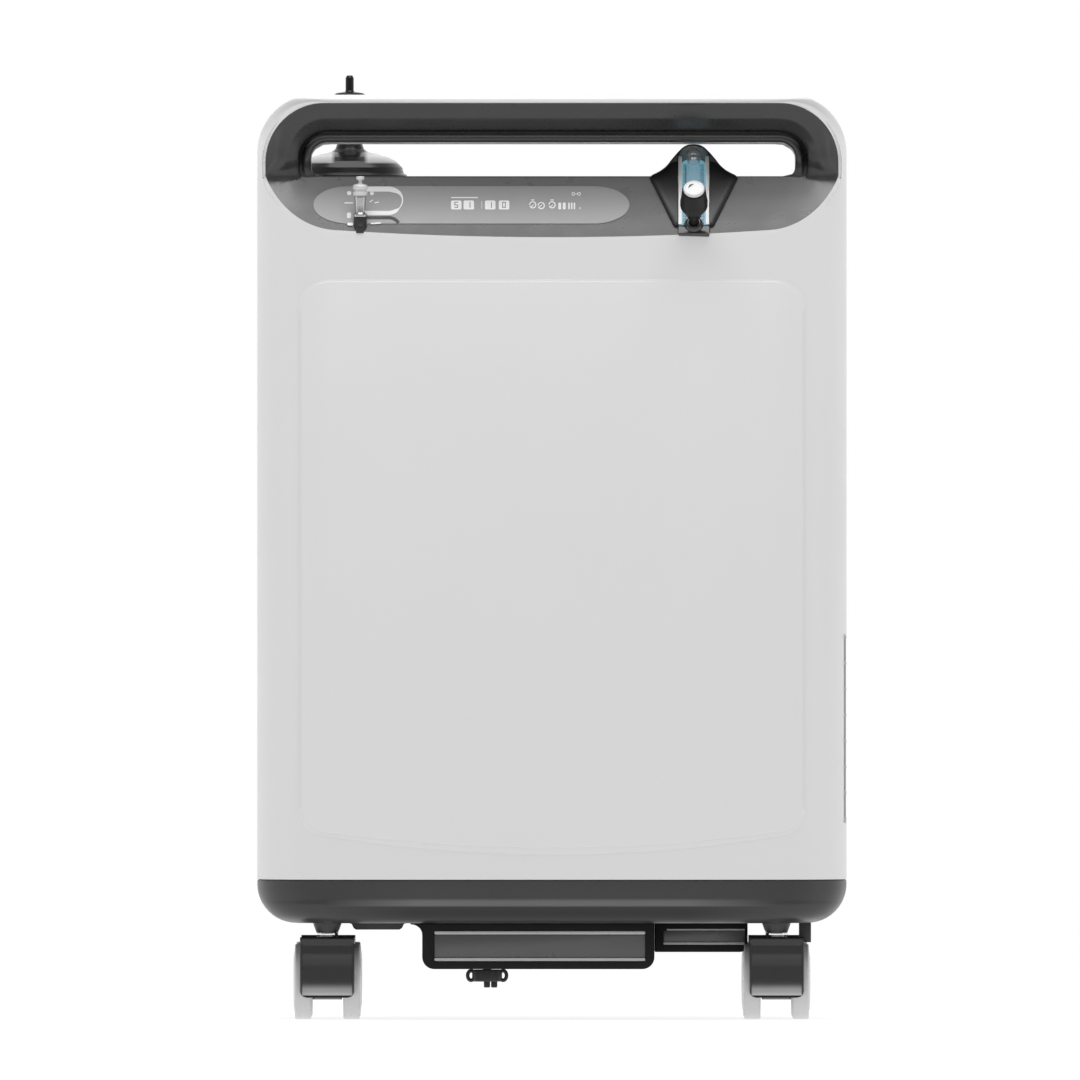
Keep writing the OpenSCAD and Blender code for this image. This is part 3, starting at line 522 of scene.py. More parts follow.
PRINT_BLACK = surface("print_black", (0.01, 0.01, 0.01), rough=0.35, vary=0.1)
CAP_WHITE = surface("cap_white", (0.62, 0.62, 0.62), rough=0.15, vary=0.02, grain=600,
                    grain_strength=0.03, coat=0.4)
BLUE = surface("scale_blue", (0.18, 0.55, 0.7), rough=0.25, vary=0.05, grain=900)
DEEP_BLUE = surface("scale_deep_blue", (0.03, 0.22, 0.34), rough=0.25, vary=0.05, grain=900)
PRINT_GREY = surface("print_grey", (0.22, 0.22, 0.22), rough=0.35, vary=0.05)
# Pale grey of the raised strips along the under-base panels' bevels: a painted highlight
BEVEL_HIGHLIGHT = surface("bevel_highlight_grey", (0.48, 0.48, 0.482), rough=0.28, vary=0.04)
BOX = surface("box_black", (0.008, 0.008, 0.008), rough=0.6, vary=0.1, grain=1500, specular=0.18)
HOOD = surface("hood_black", (0.007, 0.007, 0.007), rough=0.16, vary=0.1, grain=500, grain_strength=0.02,
               coat=0.2, coat_rough=0.05)
LID = surface("lid_black", (0.008, 0.008, 0.008), rough=0.22, vary=0.1, grain=500, grain_strength=0.02,
              specular=0.3)
# Painted tones by height, in place of the studio reflections that the photograph shows
tint(BEZEL, ((0.518, 2.0), (0.53, 3.2), (0.545, 5.4), (0.559, 7.6)), up=(0.35, 0.6))
tint(TRAY, ((0.060, 0.5), (0.071, 0.35), (0.0745, 0.5), (0.0763, 3.2), (0.0785, 3.2), (0.081, 1.2),
            (0.095, 1.1)), reach=(0.0, 0.09, 0.15))
tint(HOOD, ((0.014, 0.5), (0.0158, 0.5), (0.0164, 70.0), (0.019, 46.0), (0.0245, 1.0), (0.034, 0.8),
            (0.038, 4.0), (0.0425, 5.5), (0.0445, 0.6), (0.056, 0.5)), reach=(0.149, 0.0164, 0.0168))
tint(SHELL, ((0.57, 1.0), (0.595, 0.84), (0.6097, 0.66), (0.6108, 0.98), (0.614, 1.0)), up=(0.02, 0.2))
tint(LID, ((0.56, 1.0), (0.5686, 1.0), (0.5702, 40.0), (0.574, 60.0), (0.58, 40.0)),
     reach=(0.1349, 0.0125, 0.0095))
OUTLET_METAL = surface("outlet_metal", (0.5, 0.5, 0.51), rough=0.18, vary=0.04, metallic=0.9, grain=900)
BROWN = surface("guide_brown", (0.12, 0.045, 0.03), rough=0.3, vary=0.1)
STRIP = surface("edge_strip", (0.82, 0.82, 0.82), rough=0.2, vary=0.04, coat=0.3)
# Painted light: the scale plate and its bars glow a little, so that they show bright deep in their dark pocket
for lit, shine, level in ((BLUE, (0.2, 0.55, 0.7), 0.55), (DEEP_BLUE, (0.05, 0.3, 0.42), 0.6)):
    glow = lit.node_tree.nodes["Principled BSDF"]
    glow.inputs["Emission Color"].default_value = (*shine, 1)
    glow.inputs["Emission Strength"].default_value = level
METER_DARK = surface("meter_dark", (0.02, 0.02, 0.02), rough=0.25, vary=0.15, grain=700, coat=0.4)
CRADLE = surface("cradle_dark", (0.014, 0.014, 0.014), rough=0.34, vary=0.04, grain=1500)
KNOB = surface("knob_black", (0.006, 0.006, 0.006), rough=0.34, vary=0.1, grain=1200, specular=0.25)
DIFFUSER = surface("diffuser", (0.75, 0.76, 0.76), rough=0.8, vary=0.1, grain=500, grain_strength=0.5)
GRILLE = surface("grille_grey", (0.5, 0.505, 0.51), rough=0.4, vary=0.02, grain=1500)
FOAM = surface("foam", (0.03, 0.032, 0.036), rough=0.95, vary=0.35, grain=900, grain_depth=0.0006,
               grain_strength=0.9, patch=400)
BOARD = surface("board_green", (0.02, 0.12, 0.06), rough=0.3, vary=0.15, patch=60)
CAST = surface("cast_aluminium", (0.5, 0.51, 0.52), rough=0.45, vary=0.08, metallic=0.9, grain=700,
               grain_depth=0.0001, grain_strength=0.4, patch=40)
RUBBER = surface("mount_rubber", (0.02, 0.02, 0.02), rough=0.8, vary=0.15, grain=600, grain_strength=0.4)
CLEAR = clear_plastic("clear_block", (0.9, 0.93, 0.94), alpha=0.2)
BOTTLE = clear_plastic("bottle_clear", (0.8, 0.88, 0.92), rough=0.06, alpha=0.3)
WATER = clear_plastic("water", (0.6, 0.8, 0.88), rough=0.02, ior=1.33, alpha=0.3)


# ---------------------------------------------------------------- casing outlines

def front_depth(x):
    """Y of the casing's front surface at a given x: crown in the middle, round corners outside."""
    x = np.abs(np.asarray(x, float))
    crown = CROWN_Y - np.sqrt(CROWN_R ** 2 - np.minimum(x, HALF_W) ** 2)
    dx = np.clip(x - CORNER_X, 0, CORNER_R)
    corner = CORNER_Y - np.sqrt(CORNER_R ** 2 - dx ** 2)
    tangent_x = CORNER_X + CORNER_R * math.cos(math.radians(CROWN_DEG))
    return np.where(x <= tangent_x, crown, corner)


SIDE_DEG = -math.degrees(math.acos((BEZEL_HALF_W - CORNER_X) / CORNER_R))
SIDE_STEPS = 10
BACK_STEPS = 6


def right_front():
    """Plan points from the middle of the front to where the bezel's side meets the corner."""
    crown = arc((0, CROWN_Y), CROWN_R, -90, CROWN_DEG, 30)
    corner = arc((CORNER_X, CORNER_Y), CORNER_R, CROWN_DEG, SIDE_DEG, 16)
    return chain(crown, corner)


def mirror_chain(half):
    """A left-to-right polyline from its right half, whose first point is on the middle."""
    return chain(mirrored(half), half)


def front_half_outline(w, y_front, corner, crown, y_end, steps=(24, 16, 6)):
    """Right half of a crowned, round-cornered plan outline, from the front's middle to x = w, y_end."""
    cx = w - corner
    cy_crown = y_front + crown
    cy = cy_crown - math.sqrt((crown - corner) ** 2 - cx ** 2)
    deg = math.degrees(math.atan2(cy - cy_crown, cx))
    return chain(arc((0, cy_crown), crown, -90, deg, steps[0]),
                 arc((cx, cy), corner, deg, 0, steps[1]), line((w, cy), (w, y_end), steps[2]))


def back_half_outline(w, y_back, corner, y_start, steps=(6, 14, 12)):
    """Right half of the rear outline, from x = w, y_start to the middle of the back."""
    return chain(line((w, y_start), (w, y_back - corner), steps[0]),
                 arc((w - corner, y_back - corner), corner, 0, 90, steps[1]),
                 line((w - corner, y_back), (0, y_back), steps[2]))


def slope_edge_z(x):
    """Height at which the control slope cuts the casing's front."""
    return SLOPE_Z + (front_depth(x) - FRONT_Y) * SLOPE_TAN


def slope_y(z):
    """Y of the control slope at a height."""
    return FRONT_Y + (z - SLOPE_Z) / SLOPE_TAN


JOIN_Z = float(slope_edge_z(BEZEL_HALF_W))


def sweep_y(z):
    """Y of the concave back of the handle at height z, and the seam under it."""
    drop = np.clip(TOP_Z - np.asarray(z, float), 0, SWEEP_R)
    return SEAM_Y - np.sqrt(np.maximum(SWEEP_R ** 2 - drop ** 2, 0))


# ---------------------------------------------------------------- front shell

# Edge that rolls in behind the bezel's rim: steps sideways and back
ROLL_STEPS = ((0.35, 0.35), (0.9, 1.6))
ROLL_SIDE = 0.6


def side_columns(z):
    """Plan points of the right side at height z, from the bezel's side round the corner to the back edge."""
    corner = arc((CORNER_X, CORNER_Y), CORNER_R, SIDE_DEG, 0, SIDE_STEPS)
    back = float(sweep_y(z)) if z > DECK_Z else SEAM_Y
    return chain(corner, line((HALF_W, CORNER_Y), (HALF_W, back), BACK_STEPS))


def lower_wrap(shape):
    """Front wall and side walls, up to the slope's edge in front and to the join at the sides."""
    heights = np.concatenate([np.linspace(SPLIT_Z, 530, 12), [545, 549, DECK_Z - 0.02, DECK_Z + 0.25,
                              DECK_Z + 1.1, DECK_Z + 2.6, JOIN_Z]])
    front = mirror_chain(right_front())
    rows = []
    for z in heights:
        side = side_columns(z)
        left = mirrored(side)
        share = (z - SPLIT_Z) / (JOIN_Z - SPLIT_Z)
        front_z = SPLIT_Z + share * (slope_edge_z(front[:, 0]) - SPLIT_Z)
        rows.append(np.concatenate([
            np.column_stack([left[:-1], np.full(len(left) - 1, z)]),
            np.column_stack([front, front_z]),
            np.column_stack([side[1:], np.full(len(side) - 1, z)])]))
    shape.grid(rows)
    edge = np.column_stack([front, slope_edge_z(front[:, 0])])
    rolled = [edge]
    for up, back in ROLL_STEPS:
        rolled.append(edge + np.array([0, back, up * ROLL_SIDE]))
    shape.grid(rolled)


def hoop_paths():
    """Matching points of the casing outline and of the bezel outline, from right to left over the top."""
    top_y = TOP_Z - TOP_R
    cx = HALF_W - TOP_R
    casing = chain(line((HALF_W, JOIN_Z), (HALF_W, top_y), 4), arc((cx, top_y), TOP_R, 0, 90, 18),
                   line((cx, TOP_Z), (-cx, TOP_Z), 36), arc((-cx, top_y), TOP_R, 90, 180, 18),
                   line((-HALF_W, top_y), (-HALF_W, JOIN_Z), 4))
    bz = BEZEL_TOP - BEZEL_R
    bx = BEZEL_HALF_W - BEZEL_R
    bezel = chain(line((BEZEL_HALF_W, JOIN_Z), (BEZEL_HALF_W, bz), 4), arc((bx, bz), BEZEL_R, 0, 90, 18),
                  line((bx, BEZEL_TOP), (-bx, BEZEL_TOP), 36), arc((-bx, bz), BEZEL_R, 90, 180, 18),
                  line((-BEZEL_HALF_W, bz), (-BEZEL_HALF_W, JOIN_Z), 4))
    return casing, bezel


TOP_EDGE_R = 9.0


def hoop(shape):
    """Sides and top of the handle, from the bezel's outline back to the concave sweep."""
    casing, bezel = hoop_paths()
    rows = [[] for _ in range(SIDE_STEPS + 1 + BACK_STEPS)]
    rolls = [[] for _ in ROLL_STEPS]
    back_edge = []
    for outer, inner in zip(casing, bezel):
        inward = inner - outer
        inset = np.linalg.norm(inward)
        inward = inward / inset
        climb = smooth01((outer[1] - (TOP_Z - TOP_R)) / TOP_R)
        radius = CORNER_R + (TOP_EDGE_R - CORNER_R) * climb
        full = math.acos(max(-1.0, 1 - inset / radius))
        y0 = float(front_depth(inner[0])) + 0.37 * climb
        for k in range(SIDE_STEPS + 1):
            theta = full * (1 - k / SIDE_STEPS)
            off = outer + inward * radius * (1 - math.cos(theta))
            y = y0 + radius * (math.sin(full) - math.sin(theta))
            rows[k].append((off[0], y, off[1]))
        y_round = y0 + radius * math.sin(full)
        y_back = float(sweep_y(outer[1]))
        for k in range(1, BACK_STEPS + 1):
            rows[SIDE_STEPS + k].append((outer[0], y_round + (y_back - y_round) * k / BACK_STEPS, outer[1]))
        back_edge.append((outer[0], y_back, outer[1]))
        for n, (side, deep) in enumerate(ROLL_STEPS):
            p = inner + inward * side * ROLL_SIDE
            rolls[n].append((p[0], y0 + deep, p[1]))
    shape.grid(rows)
    shape.grid([rows[0]] + rolls)
    return np.array(back_edge)


def sweep_to_plane(points):
    """(x, arc length) on the unrolled concave sweep of points given as (x, z)."""
    drop = np.clip((TOP_Z - points[:, 1]) / SWEEP_R, 0, 1)
    return np.stack([points[:, 0], SWEEP_R * np.arcsin(drop)], 1)


def plane_to_sweep(flat):
    """The inverse of sweep_to_plane, as (x, y, z)."""
    angle = flat[:, 1] / SWEEP_R
    return np.stack([flat[:, 0], SEAM_Y - SWEEP_R * np.cos(angle), TOP_Z - SWEEP_R * np.sin(angle)], 1)


def resample(points, count):
    """A polyline with count evenly spaced points along its length."""
    points = np.asarray(points, float)
    steps = np.concatenate([[0], np.cumsum(np.linalg.norm(np.diff(points, axis=0), axis=1))])
    want = np.linspace(0, steps[-1], count)
    return np.stack([np.interp(want, steps, points[:, k]) for k in range(points.shape[1])], 1)


def back_sweep(shape, back_edge):
    """Concave back of the handle, with the hand opening through it and its tunnel."""
    low = np.array([DECK_Z + 0.25, DECK_Z + 1.1, DECK_Z + 2.6])
    right_low = np.column_stack([np.full(3, HALF_W), low])
    left_low = right_low[::-1] * [-1, 1]
    rim = back_edge[:, [0, 2]]
    first = (HALF_W, DECK_Z - 0.02)
    bottom = line((-HALF_W, DECK_Z - 0.02), first, 40)
    loop = chain([first], np.concatenate([[first], right_low, rim, left_low, [(-HALF_W, DECK_Z - 0.02)]]))
    # Stretches of the outer loop: right side with its corner, top, left side with its corner, bottom
    n_side = 3 + 4 + 9
    parts = [loop[:n_side + 2], loop[n_side + 1:len(loop) - n_side - 1], loop[len(loop) - n_side - 2:], bottom]
    x0, x1, z0, z1 = GRIP_LEFT, GRIP_RIGHT, GRIP_LOW, GRIP_HIGH
    rl, rh = GRIP_LOW_R, GRIP_HIGH_R
    right = chain(arc((x1 - rl, z0 + rl), rl, -45, 0, 6), line((x1, z0 + rl), (x1, z1 - rh), 4),
                  arc((x1 - rh, z1 - rh), rh, 0, 45, 6))
    left = right[::-1].copy()
    left[:, 0] = x0 + x1 - left[:, 0]
    top = chain(arc((x1 - rh, z1 - rh), rh, 45, 90, 6), line((x1 - rh, z1), (x0 + rh, z1), 30),
                arc((x0 + rh, z1 - rh), rh, 90, 135, 6))
    low_edge = chain(arc((x0 + rl, z0 + rl), rl, 225, 270, 6), line((x0 + rl, z0), (x1 - rl, z0), 30),
                     arc((x1 - rl, z0 + rl), rl, 270, 315, 6))
    inner = [resample(part, len(outer)) for part, outer in zip((right, top, left, low_edge), parts)]
    for outer_part, inner_part in zip(parts, inner):
        a = sweep_to_plane(outer_part)
        b = sweep_to_plane(inner_part)
        rows = []
        for t in (0, 0.18, 0.4, 0.65, 0.86, 1):
            row = plane_to_sweep(a * (1 - t) + b * t)
            if t == 0:
                row = np.column_stack([outer_part[:, 0], sweep_y(outer_part[:, 1]), outer_part[:, 1]])
            rows.append(row)
        end = np.column_stack([inner_part[:, 0], np.full(len(inner_part), GRIP_BACK_Y + 0.3), inner_part[:, 1]])
        shape.grid(rows + [end])


def make_front_shell():
    """Front half of the casing with the handle's hoop and a slot for the side grille."""
    shape = Shape()
    lower_wrap(shape)
    back_edge = hoop(shape)
    back_sweep(shape, back_edge)
    obj = shape.build("front_shell_skin", SHELL, weld=0.08, bevel=2.2, thick=SHELL_T, bevel_deg=45)
    low, high = box_mm("side_grille")
    slot_cut = Shape().block((low[0] - 5, low[1] - 0.3, low[2] - 0.3),
                             (high[0] + 9, high[1] + 0.3, high[2] + 0.3))
    cut(obj, slot_cut.build("grille_cut", SHELL))
    return put(obj, "casing", "shell_white", "front_shell")


make_front_shell()


# ---------------------------------------------------------------- dark bezel with the control slope

BEZEL_BACK_Y = BEZEL_HIGH[1]
# Rings round the hand opening: how far outside it, and how deep under the casing's surface
LIP_OFFSETS = (0.0, 0.5, 1.4, 2.6, 3.8, 4.6, 5.0, 5.4, 6.2, 7.2, 7.9, 8.3, 9.0)
LIP_DEPTHS = (22.0, 20.2, 18.8, 18.2, 18.6, 19.6, 21.5, 25.0, 26.0, 26.0, 24.5, 17.0, 15.2)
# Depth of the dish under the casing's surface, against the share of the way in from its rim
DISH_IN = (0.0, 0.06, 0.3, 0.55, 0.62, 0.8, 1.0)
DISH_DEPTH = (0.0, 0.9, 2.6, 5.0, 6.0, 10.5, 15.2)
# Steps of the loops round the bezel
LOW_N, HIGH_N, SIDE_N, TOP_N = 16, 18, 6, 60


def bezel_loops():
    """The bezel's rim as (x, z), and a function that gives a matching loop of the grown hand opening."""
    bz = BEZEL_TOP - BEZEL_R
    bx = BEZEL_HALF_W - BEZEL_R
    front = mirror_chain(right_front())
    rim_bottom = np.column_stack([front[:, 0], slope_edge_z(front[:, 0])])
    right_corner = rim_bottom[-LOW_N - 1:][::-1]
    left_corner = rim_bottom[:LOW_N + 1][::-1]
    bottom = rim_bottom[LOW_N:-LOW_N][::-1]
    outer = [line((BEZEL_HALF_W, bz), (BEZEL_HALF_W, JOIN_Z), SIDE_N), right_corner, bottom, left_corner,
             line((-BEZEL_HALF_W, JOIN_Z), (-BEZEL_HALF_W, bz), SIDE_N),
             arc((-bx, bz), BEZEL_R, 180, 90, HIGH_N), line((-bx, BEZEL_TOP), (bx, BEZEL_TOP), TOP_N),
             arc((bx, bz), BEZEL_R, 90, 0, HIGH_N)]

    def inner(grow):
        x0, x1, z0, z1 = GRIP_LEFT - grow, GRIP_RIGHT + grow, GRIP_LOW - grow, GRIP_HIGH + grow
        rl, rh = GRIP_LOW_R + grow, GRIP_HIGH_R + grow
        parts = [line((x1, z1 - rh), (x1, z0 + rl), SIDE_N), arc((x1 - rl, z0 + rl), rl, 0, -90, LOW_N),
                 line((x1 - rl, z0), (x0 + rl, z0), len(bottom) - 1),
                 arc((x0 + rl, z0 + rl), rl, -90, -180, LOW_N), line((x0, z0 + rl), (x0, z1 - rh), SIDE_N),
                 arc((x0 + rh, z1 - rh), rh, 180, 90, HIGH_N), line((x0 + rh, z1), (x1 - rh, z1), TOP_N),
                 arc((x1 - rh, z1 - rh), rh, 90, 0, HIGH_N)]
        return chain(*parts)[:-1]

    return chain(*outer)[:-1], inner


def bezel_surface():
    """Rows of the bezel's visible surface, from its rim to the edge of the hand opening."""
    rim, inner = bezel_loops()
    grip = [inner(g) for g in LIP_OFFSETS]
    last = grip[-1]
    # 1 over the bar and the sides, 0 over the slope
    upper = smooth01((grip[0][:, 1] - GRIP_LOW - 1.0) / 12.0)
    rows = []
    rim_y = front_depth(rim[:, 0])
    rows.append(np.column_stack([rim[:, 0], rim_y + 0.5, rim[:, 1]]))
    shares = (0.0, 0.02, 0.05, 0.1, 0.2, 0.3, 0.4, 0.5, 0.56, 0.62, 0.7, 0.8, 0.9, 1.0)
    for share in shares:
        p = rim * (1 - share) + last * share
        dish = front_depth(p[:, 0]) + np.interp(share, DISH_IN, DISH_DEPTH)
        slope = np.minimum(slope_y(p[:, 1]), slope_y(GRIP_LOW - 1.5))
        y = np.where(upper > 0, slope * (1 - upper) + dish * upper, slope)
        y = np.maximum(y, front_depth(p[:, 0]) + 0.1 * (share > 0))
        rows.append(np.column_stack([p[:, 0], y, p[:, 1]]))
    for ring, depth in zip(grip[-2::-1], LIP_DEPTHS[-2::-1]):
        dish = front_depth(ring[:, 0]) + depth
        slope = np.minimum(slope_y(ring[:, 1]), slope_y(GRIP_LOW - 0.4))
        rows.append(np.column_stack([ring[:, 0], slope * (1 - upper) + dish * upper, ring[:, 1]]))
    return rows, rim, grip[0]


SLOPE = slope_frame()


def meter_pocket():
    """Cutter for the slot that the flowmeter lies in."""
    low, high = box_mm("flowmeter_block")
    place = SLOPE @ Matrix.Translation(((low[0] + high[0]) / 2, 0, 0))
    half = (high[0] - low[0]) / 2 + 0.2
    return Shape().block((-half, 0.6, -14.1), (half, 76.6, 6), place=place).build("pocket", BEZEL)


def make_bezel():
    """Dark dished ring round the hand opening, with the control slope below it."""
    rows, rim, opening = bezel_surface()
    back = BEZEL_BACK_Y - 0.2
    inner_back = np.column_stack([opening[:, 0], np.full(len(opening), back), opening[:, 1]])
    outer_back = np.column_stack([rim[:, 0] * 0.985, np.full(len(rim), back), np.maximum(rim[:, 1] - 1, 540)])
    rim_in = np.column_stack([rim[:, 0] * 0.992, front_depth(rim[:, 0]) + 3.5,
                              rim[:, 1] + np.where(rim[:, 1] < JOIN_Z + 0.5, 0.6, -1.0)])
    shape = Shape()
    shape.grid(rows + [inner_back, outer_back, rim_in], close_u=True, close_v=True)
    obj = shape.build("control_bezel_skin", BEZEL, weld=0.005, crease_deg=50)
    cut(obj, meter_pocket(), crease_deg=50)
    return put(obj, "casing", "bezel_grey", "control_bezel")


make_bezel()


def make_handle_cover():
    """Rear half of the handle: a ring with a rounded inner edge behind the bezel."""
    _, inner = bezel_loops()
    y0, y1 = COVER_LOW[1] + 0.1, COVER_HIGH[1]

    def outer(inset):
        w, top, low = BEZEL_HALF_W - inset, BEZEL_TOP - inset, GRIP_LOW - 12 + inset
        r = BEZEL_R - inset
        bottom_n = len(inner(0)) - 2 * LOW_N - 2 * HIGH_N - TOP_N - 2 * SIDE_N
        parts = [line((w, top - r), (w, low + 5), SIDE_N), arc((w - 5, low + 5), 5, 0, -90, LOW_N),
                 line((w - 5, low), (-w + 5, low), bottom_n),
                 arc((-w + 5, low + 5), 5, -90, -180, LOW_N), line((-w, low + 5), (-w, top - r), SIDE_N),
                 arc((-w + r, top - r), r, 180, 90, HIGH_N), line((-w + r, top), (w - r, top), TOP_N),
                 arc((w - r, top - r), r, 90, 0, HIGH_N)]
        return chain(*parts)[:-1]

    def ring(points, y):
        return np.column_stack([points[:, 0], np.full(len(points), y), points[:, 1]])

    shape = Shape()
    rounding = 3.0
    rows = [ring(outer(5.0), y0), ring(inner(0), y0), ring(inner(0), y1 - rounding)]
    for k in (1, 2, 3):
        a = math.radians(30 * k)
        rows.append(ring(inner(rounding * (1 - math.cos(a))), y1 - rounding + rounding * math.sin(a)))
    rows.append(ring(outer(5.2), y1))
    shape.grid(rows, close_u=True, close_v=True)
    obj = shape.build("handle_cover_skin", BEZEL, weld=0.005, crease_deg=40)
    cut(obj, meter_pocket(), crease_deg=40)
    return put(obj, "casing", "bezel_grey", "handle_cover")


make_handle_cover()


# ---------------------------------------------------------------- raised front panel

def make_front_panel():
    """Two thin stepped shields on the crowned front, the outer a little shorter at the bottom."""
    low, high = box_mm("front_panel")
    half, top, bottom = high[0], high[2], low[2]
    layers = (  # half width, top, bottom at the middle, rise at the bottom corners, proud of the shell
        (half + 0.5, top + 0.5, bottom - 4.5, 15.5, 0.35),
        (half - 0.6, top - 0.6, bottom, 12.8, 0.75),
    )
    shape = Shape()
    for w, z1, z0, lift, proud in layers:
        corner, low_corner = 20.0, 14.0
        x = np.unique(np.concatenate([np.linspace(0, w - corner, 40),
                                      w - corner + corner * np.sin(np.radians(np.linspace(0, 90, 19)))]))
        x = np.concatenate([-x[::-1][:-1], x])
        ax = np.abs(x)
        d = np.clip(ax - (w - corner), 0, corner)
        z_top = z1 - corner + np.sqrt(np.maximum(corner ** 2 - d ** 2, 0))
        arch = lift * (ax / w) ** 2
        d2 = np.clip(ax - (w - low_corner), 0, low_corner)
        z_low = z0 + arch + low_corner - np.sqrt(np.maximum(low_corner ** 2 - d2 ** 2, 0))
        mid = (z_top + z_low) / 2
        loops = []
        for inset, out in ((0.0, -0.4), (0.0, proud * 0.35), (0.25, proud * 0.8), (0.8, proud)):
            shrink = 1 - inset / w
            loops.append((x * shrink, mid + (z_low - mid) + inset, z_top - inset, out))
        rows = []
        for xs, a, b, out in loops:
            rows.append(np.column_stack([xs, front_depth(xs) - out, a]))
        for xs, a, b, out in loops[::-1]:
            rows.append(np.column_stack([xs, front_depth(xs) - out, b]))
        shape.grid(rows)
    obj = shape.build("front_panel_skin", PANEL, weld=0.002, crease_deg=40)
    return put(obj, "casing", "panel_white", "front_panel")


make_front_panel()


# ---------------------------------------------------------------- rear shell with the bottle niche

BOTTLE_LOW, BOTTLE_HIGH = box_mm("humidifier_bottle")
BOTTLE_X = (BOTTLE_LOW[0] + BOTTLE_HIGH[0]) / 2
BOTTLE_Y = (BOTTLE_LOW[1] + BOTTLE_HIGH[1]) / 2
NICHE_HALF = 43.0
NICHE_Z = BOTTLE_LOW[2] - 0.2
DOOR_LOW, DOOR_HIGH = box_mm("filter_door")
SCREW_SPOTS = ((-165, 120), (165, 120), (-165, 330), (165, 330), (165, 520))


def make_rear_shell():
    """Rear half of the casing: walls, rounded deck, its openings and the lined niche."""
    edge = DECK_EDGE_R

    def inset_plan(inset):
        half = back_half_outline(HALF_W - inset, BACK_Y - inset, REAR_R - inset, SEAM_Y + 0.4)
        return chain(half, mirrored(half))

    plan = inset_plan(0)
    rows = [at_height(plan, z) for z in np.linspace(SPLIT_Z, DECK_Z - edge, 12)]
    for k in range(1, 7):
        a = math.radians(15 * k)
        p = inset_plan(edge * (1 - math.cos(a)))
        rows.append(at_height(p, DECK_Z - edge + edge * math.sin(a)))
    shape = Shape().grid(rows)
    shape.cap(rows[-1])
    obj = shape.build("rear_shell_skin", SHELL, weld=0.02, thick=SHELL_T)
    tools = [Shape().block((BOTTLE_X - NICHE_HALF, BOTTLE_Y - NICHE_HALF, NICHE_Z),
                           (BOTTLE_X + NICHE_HALF, BACK_Y + 20, DECK_Z + 20)).build("niche_cut", SHELL)]
    x0, x1 = DOOR_LOW[0] + 2, DOOR_HIGH[0] - 2
    tools.append(Shape().block((x0, BACK_Y - 9, DOOR_LOW[2] - 1.5), (x1, BACK_Y + 9, DOOR_HIGH[2] + 1)).build(
        "door_cut", SHELL))
    for node, grow in (("power_inlet", -3.0), ("switch_frame", 0.2)):
        low, high = box_mm(node)
        tools.append(Shape().block((low[0] - grow, BACK_Y - 9, low[2] - grow),
                                   (high[0] + grow, BACK_Y + 9, high[2] + grow)).build(node + "_cut", SHELL))
    back = Matrix.Rotation(math.radians(-90), 4, "X")
    low, high = box_mm("breaker_button")
    spots = [((low[0] + high[0]) / 2, (low[2] + high[2]) / 2, 4.3, 12)]
    spots += [(x, z, 4.2, 3) for x, z in SCREW_SPOTS]
    for x, z, r, deep in spots:
        place = Matrix.Translation((x, BACK_Y - deep, z)) @ back
        bore = Shape().lathe([(0, 0), (r, 0), (r, deep + 5), (0, deep + 5)], 32, place)
        tools.append(bore.build("bore", SHELL))
    cut(obj, *tools)
    liner = Shape()
    r = 12.0
    x0, x1 = BOTTLE_X - NICHE_HALF, BOTTLE_X + NICHE_HALF
    y0, y1 = BOTTLE_Y - NICHE_HALF, BACK_Y - 0.6
    wall = chain(line((x0, y1), (x0, y0 + r), 6), arc((x0 + r, y0 + r), r, 180, 270, 10),
                 line((x0 + r, y0), (x1 - r, y0), 6), arc((x1 - r, y0 + r), r, 270, 360, 10),
                 line((x1, y0 + r), (x1, y1), 6))
    rows = [at_height(wall, z) for z in (DECK_Z - 0.4, 520, 460, NICHE_Z + 6)]
    centre = wall.mean(0)
    for k in range(1, 6):
        a = math.radians(18 * k)
        pull = 6 * (1 - math.cos(a))
        inner = wall + (centre - wall) / np.linalg.norm(centre - wall, axis=1)[:, None] * pull
        inner[:, 1] = np.where(wall[:, 1] > y1 - 0.01, y1, inner[:, 1])
        rows.append(at_height(inner, NICHE_Z + 6 - 6 * math.sin(a)))
    liner.grid(rows)
    liner.cap(rows[-1])
    lined = liner.build("bottle_niche", SHELL, weld=0.02, thick=-2.0)
    put(lined, "casing", "shell_white")
    return put(obj, "casing", "shell_white", "rear_shell")


make_rear_shell()


# ---------------------------------------------------------------- base tray

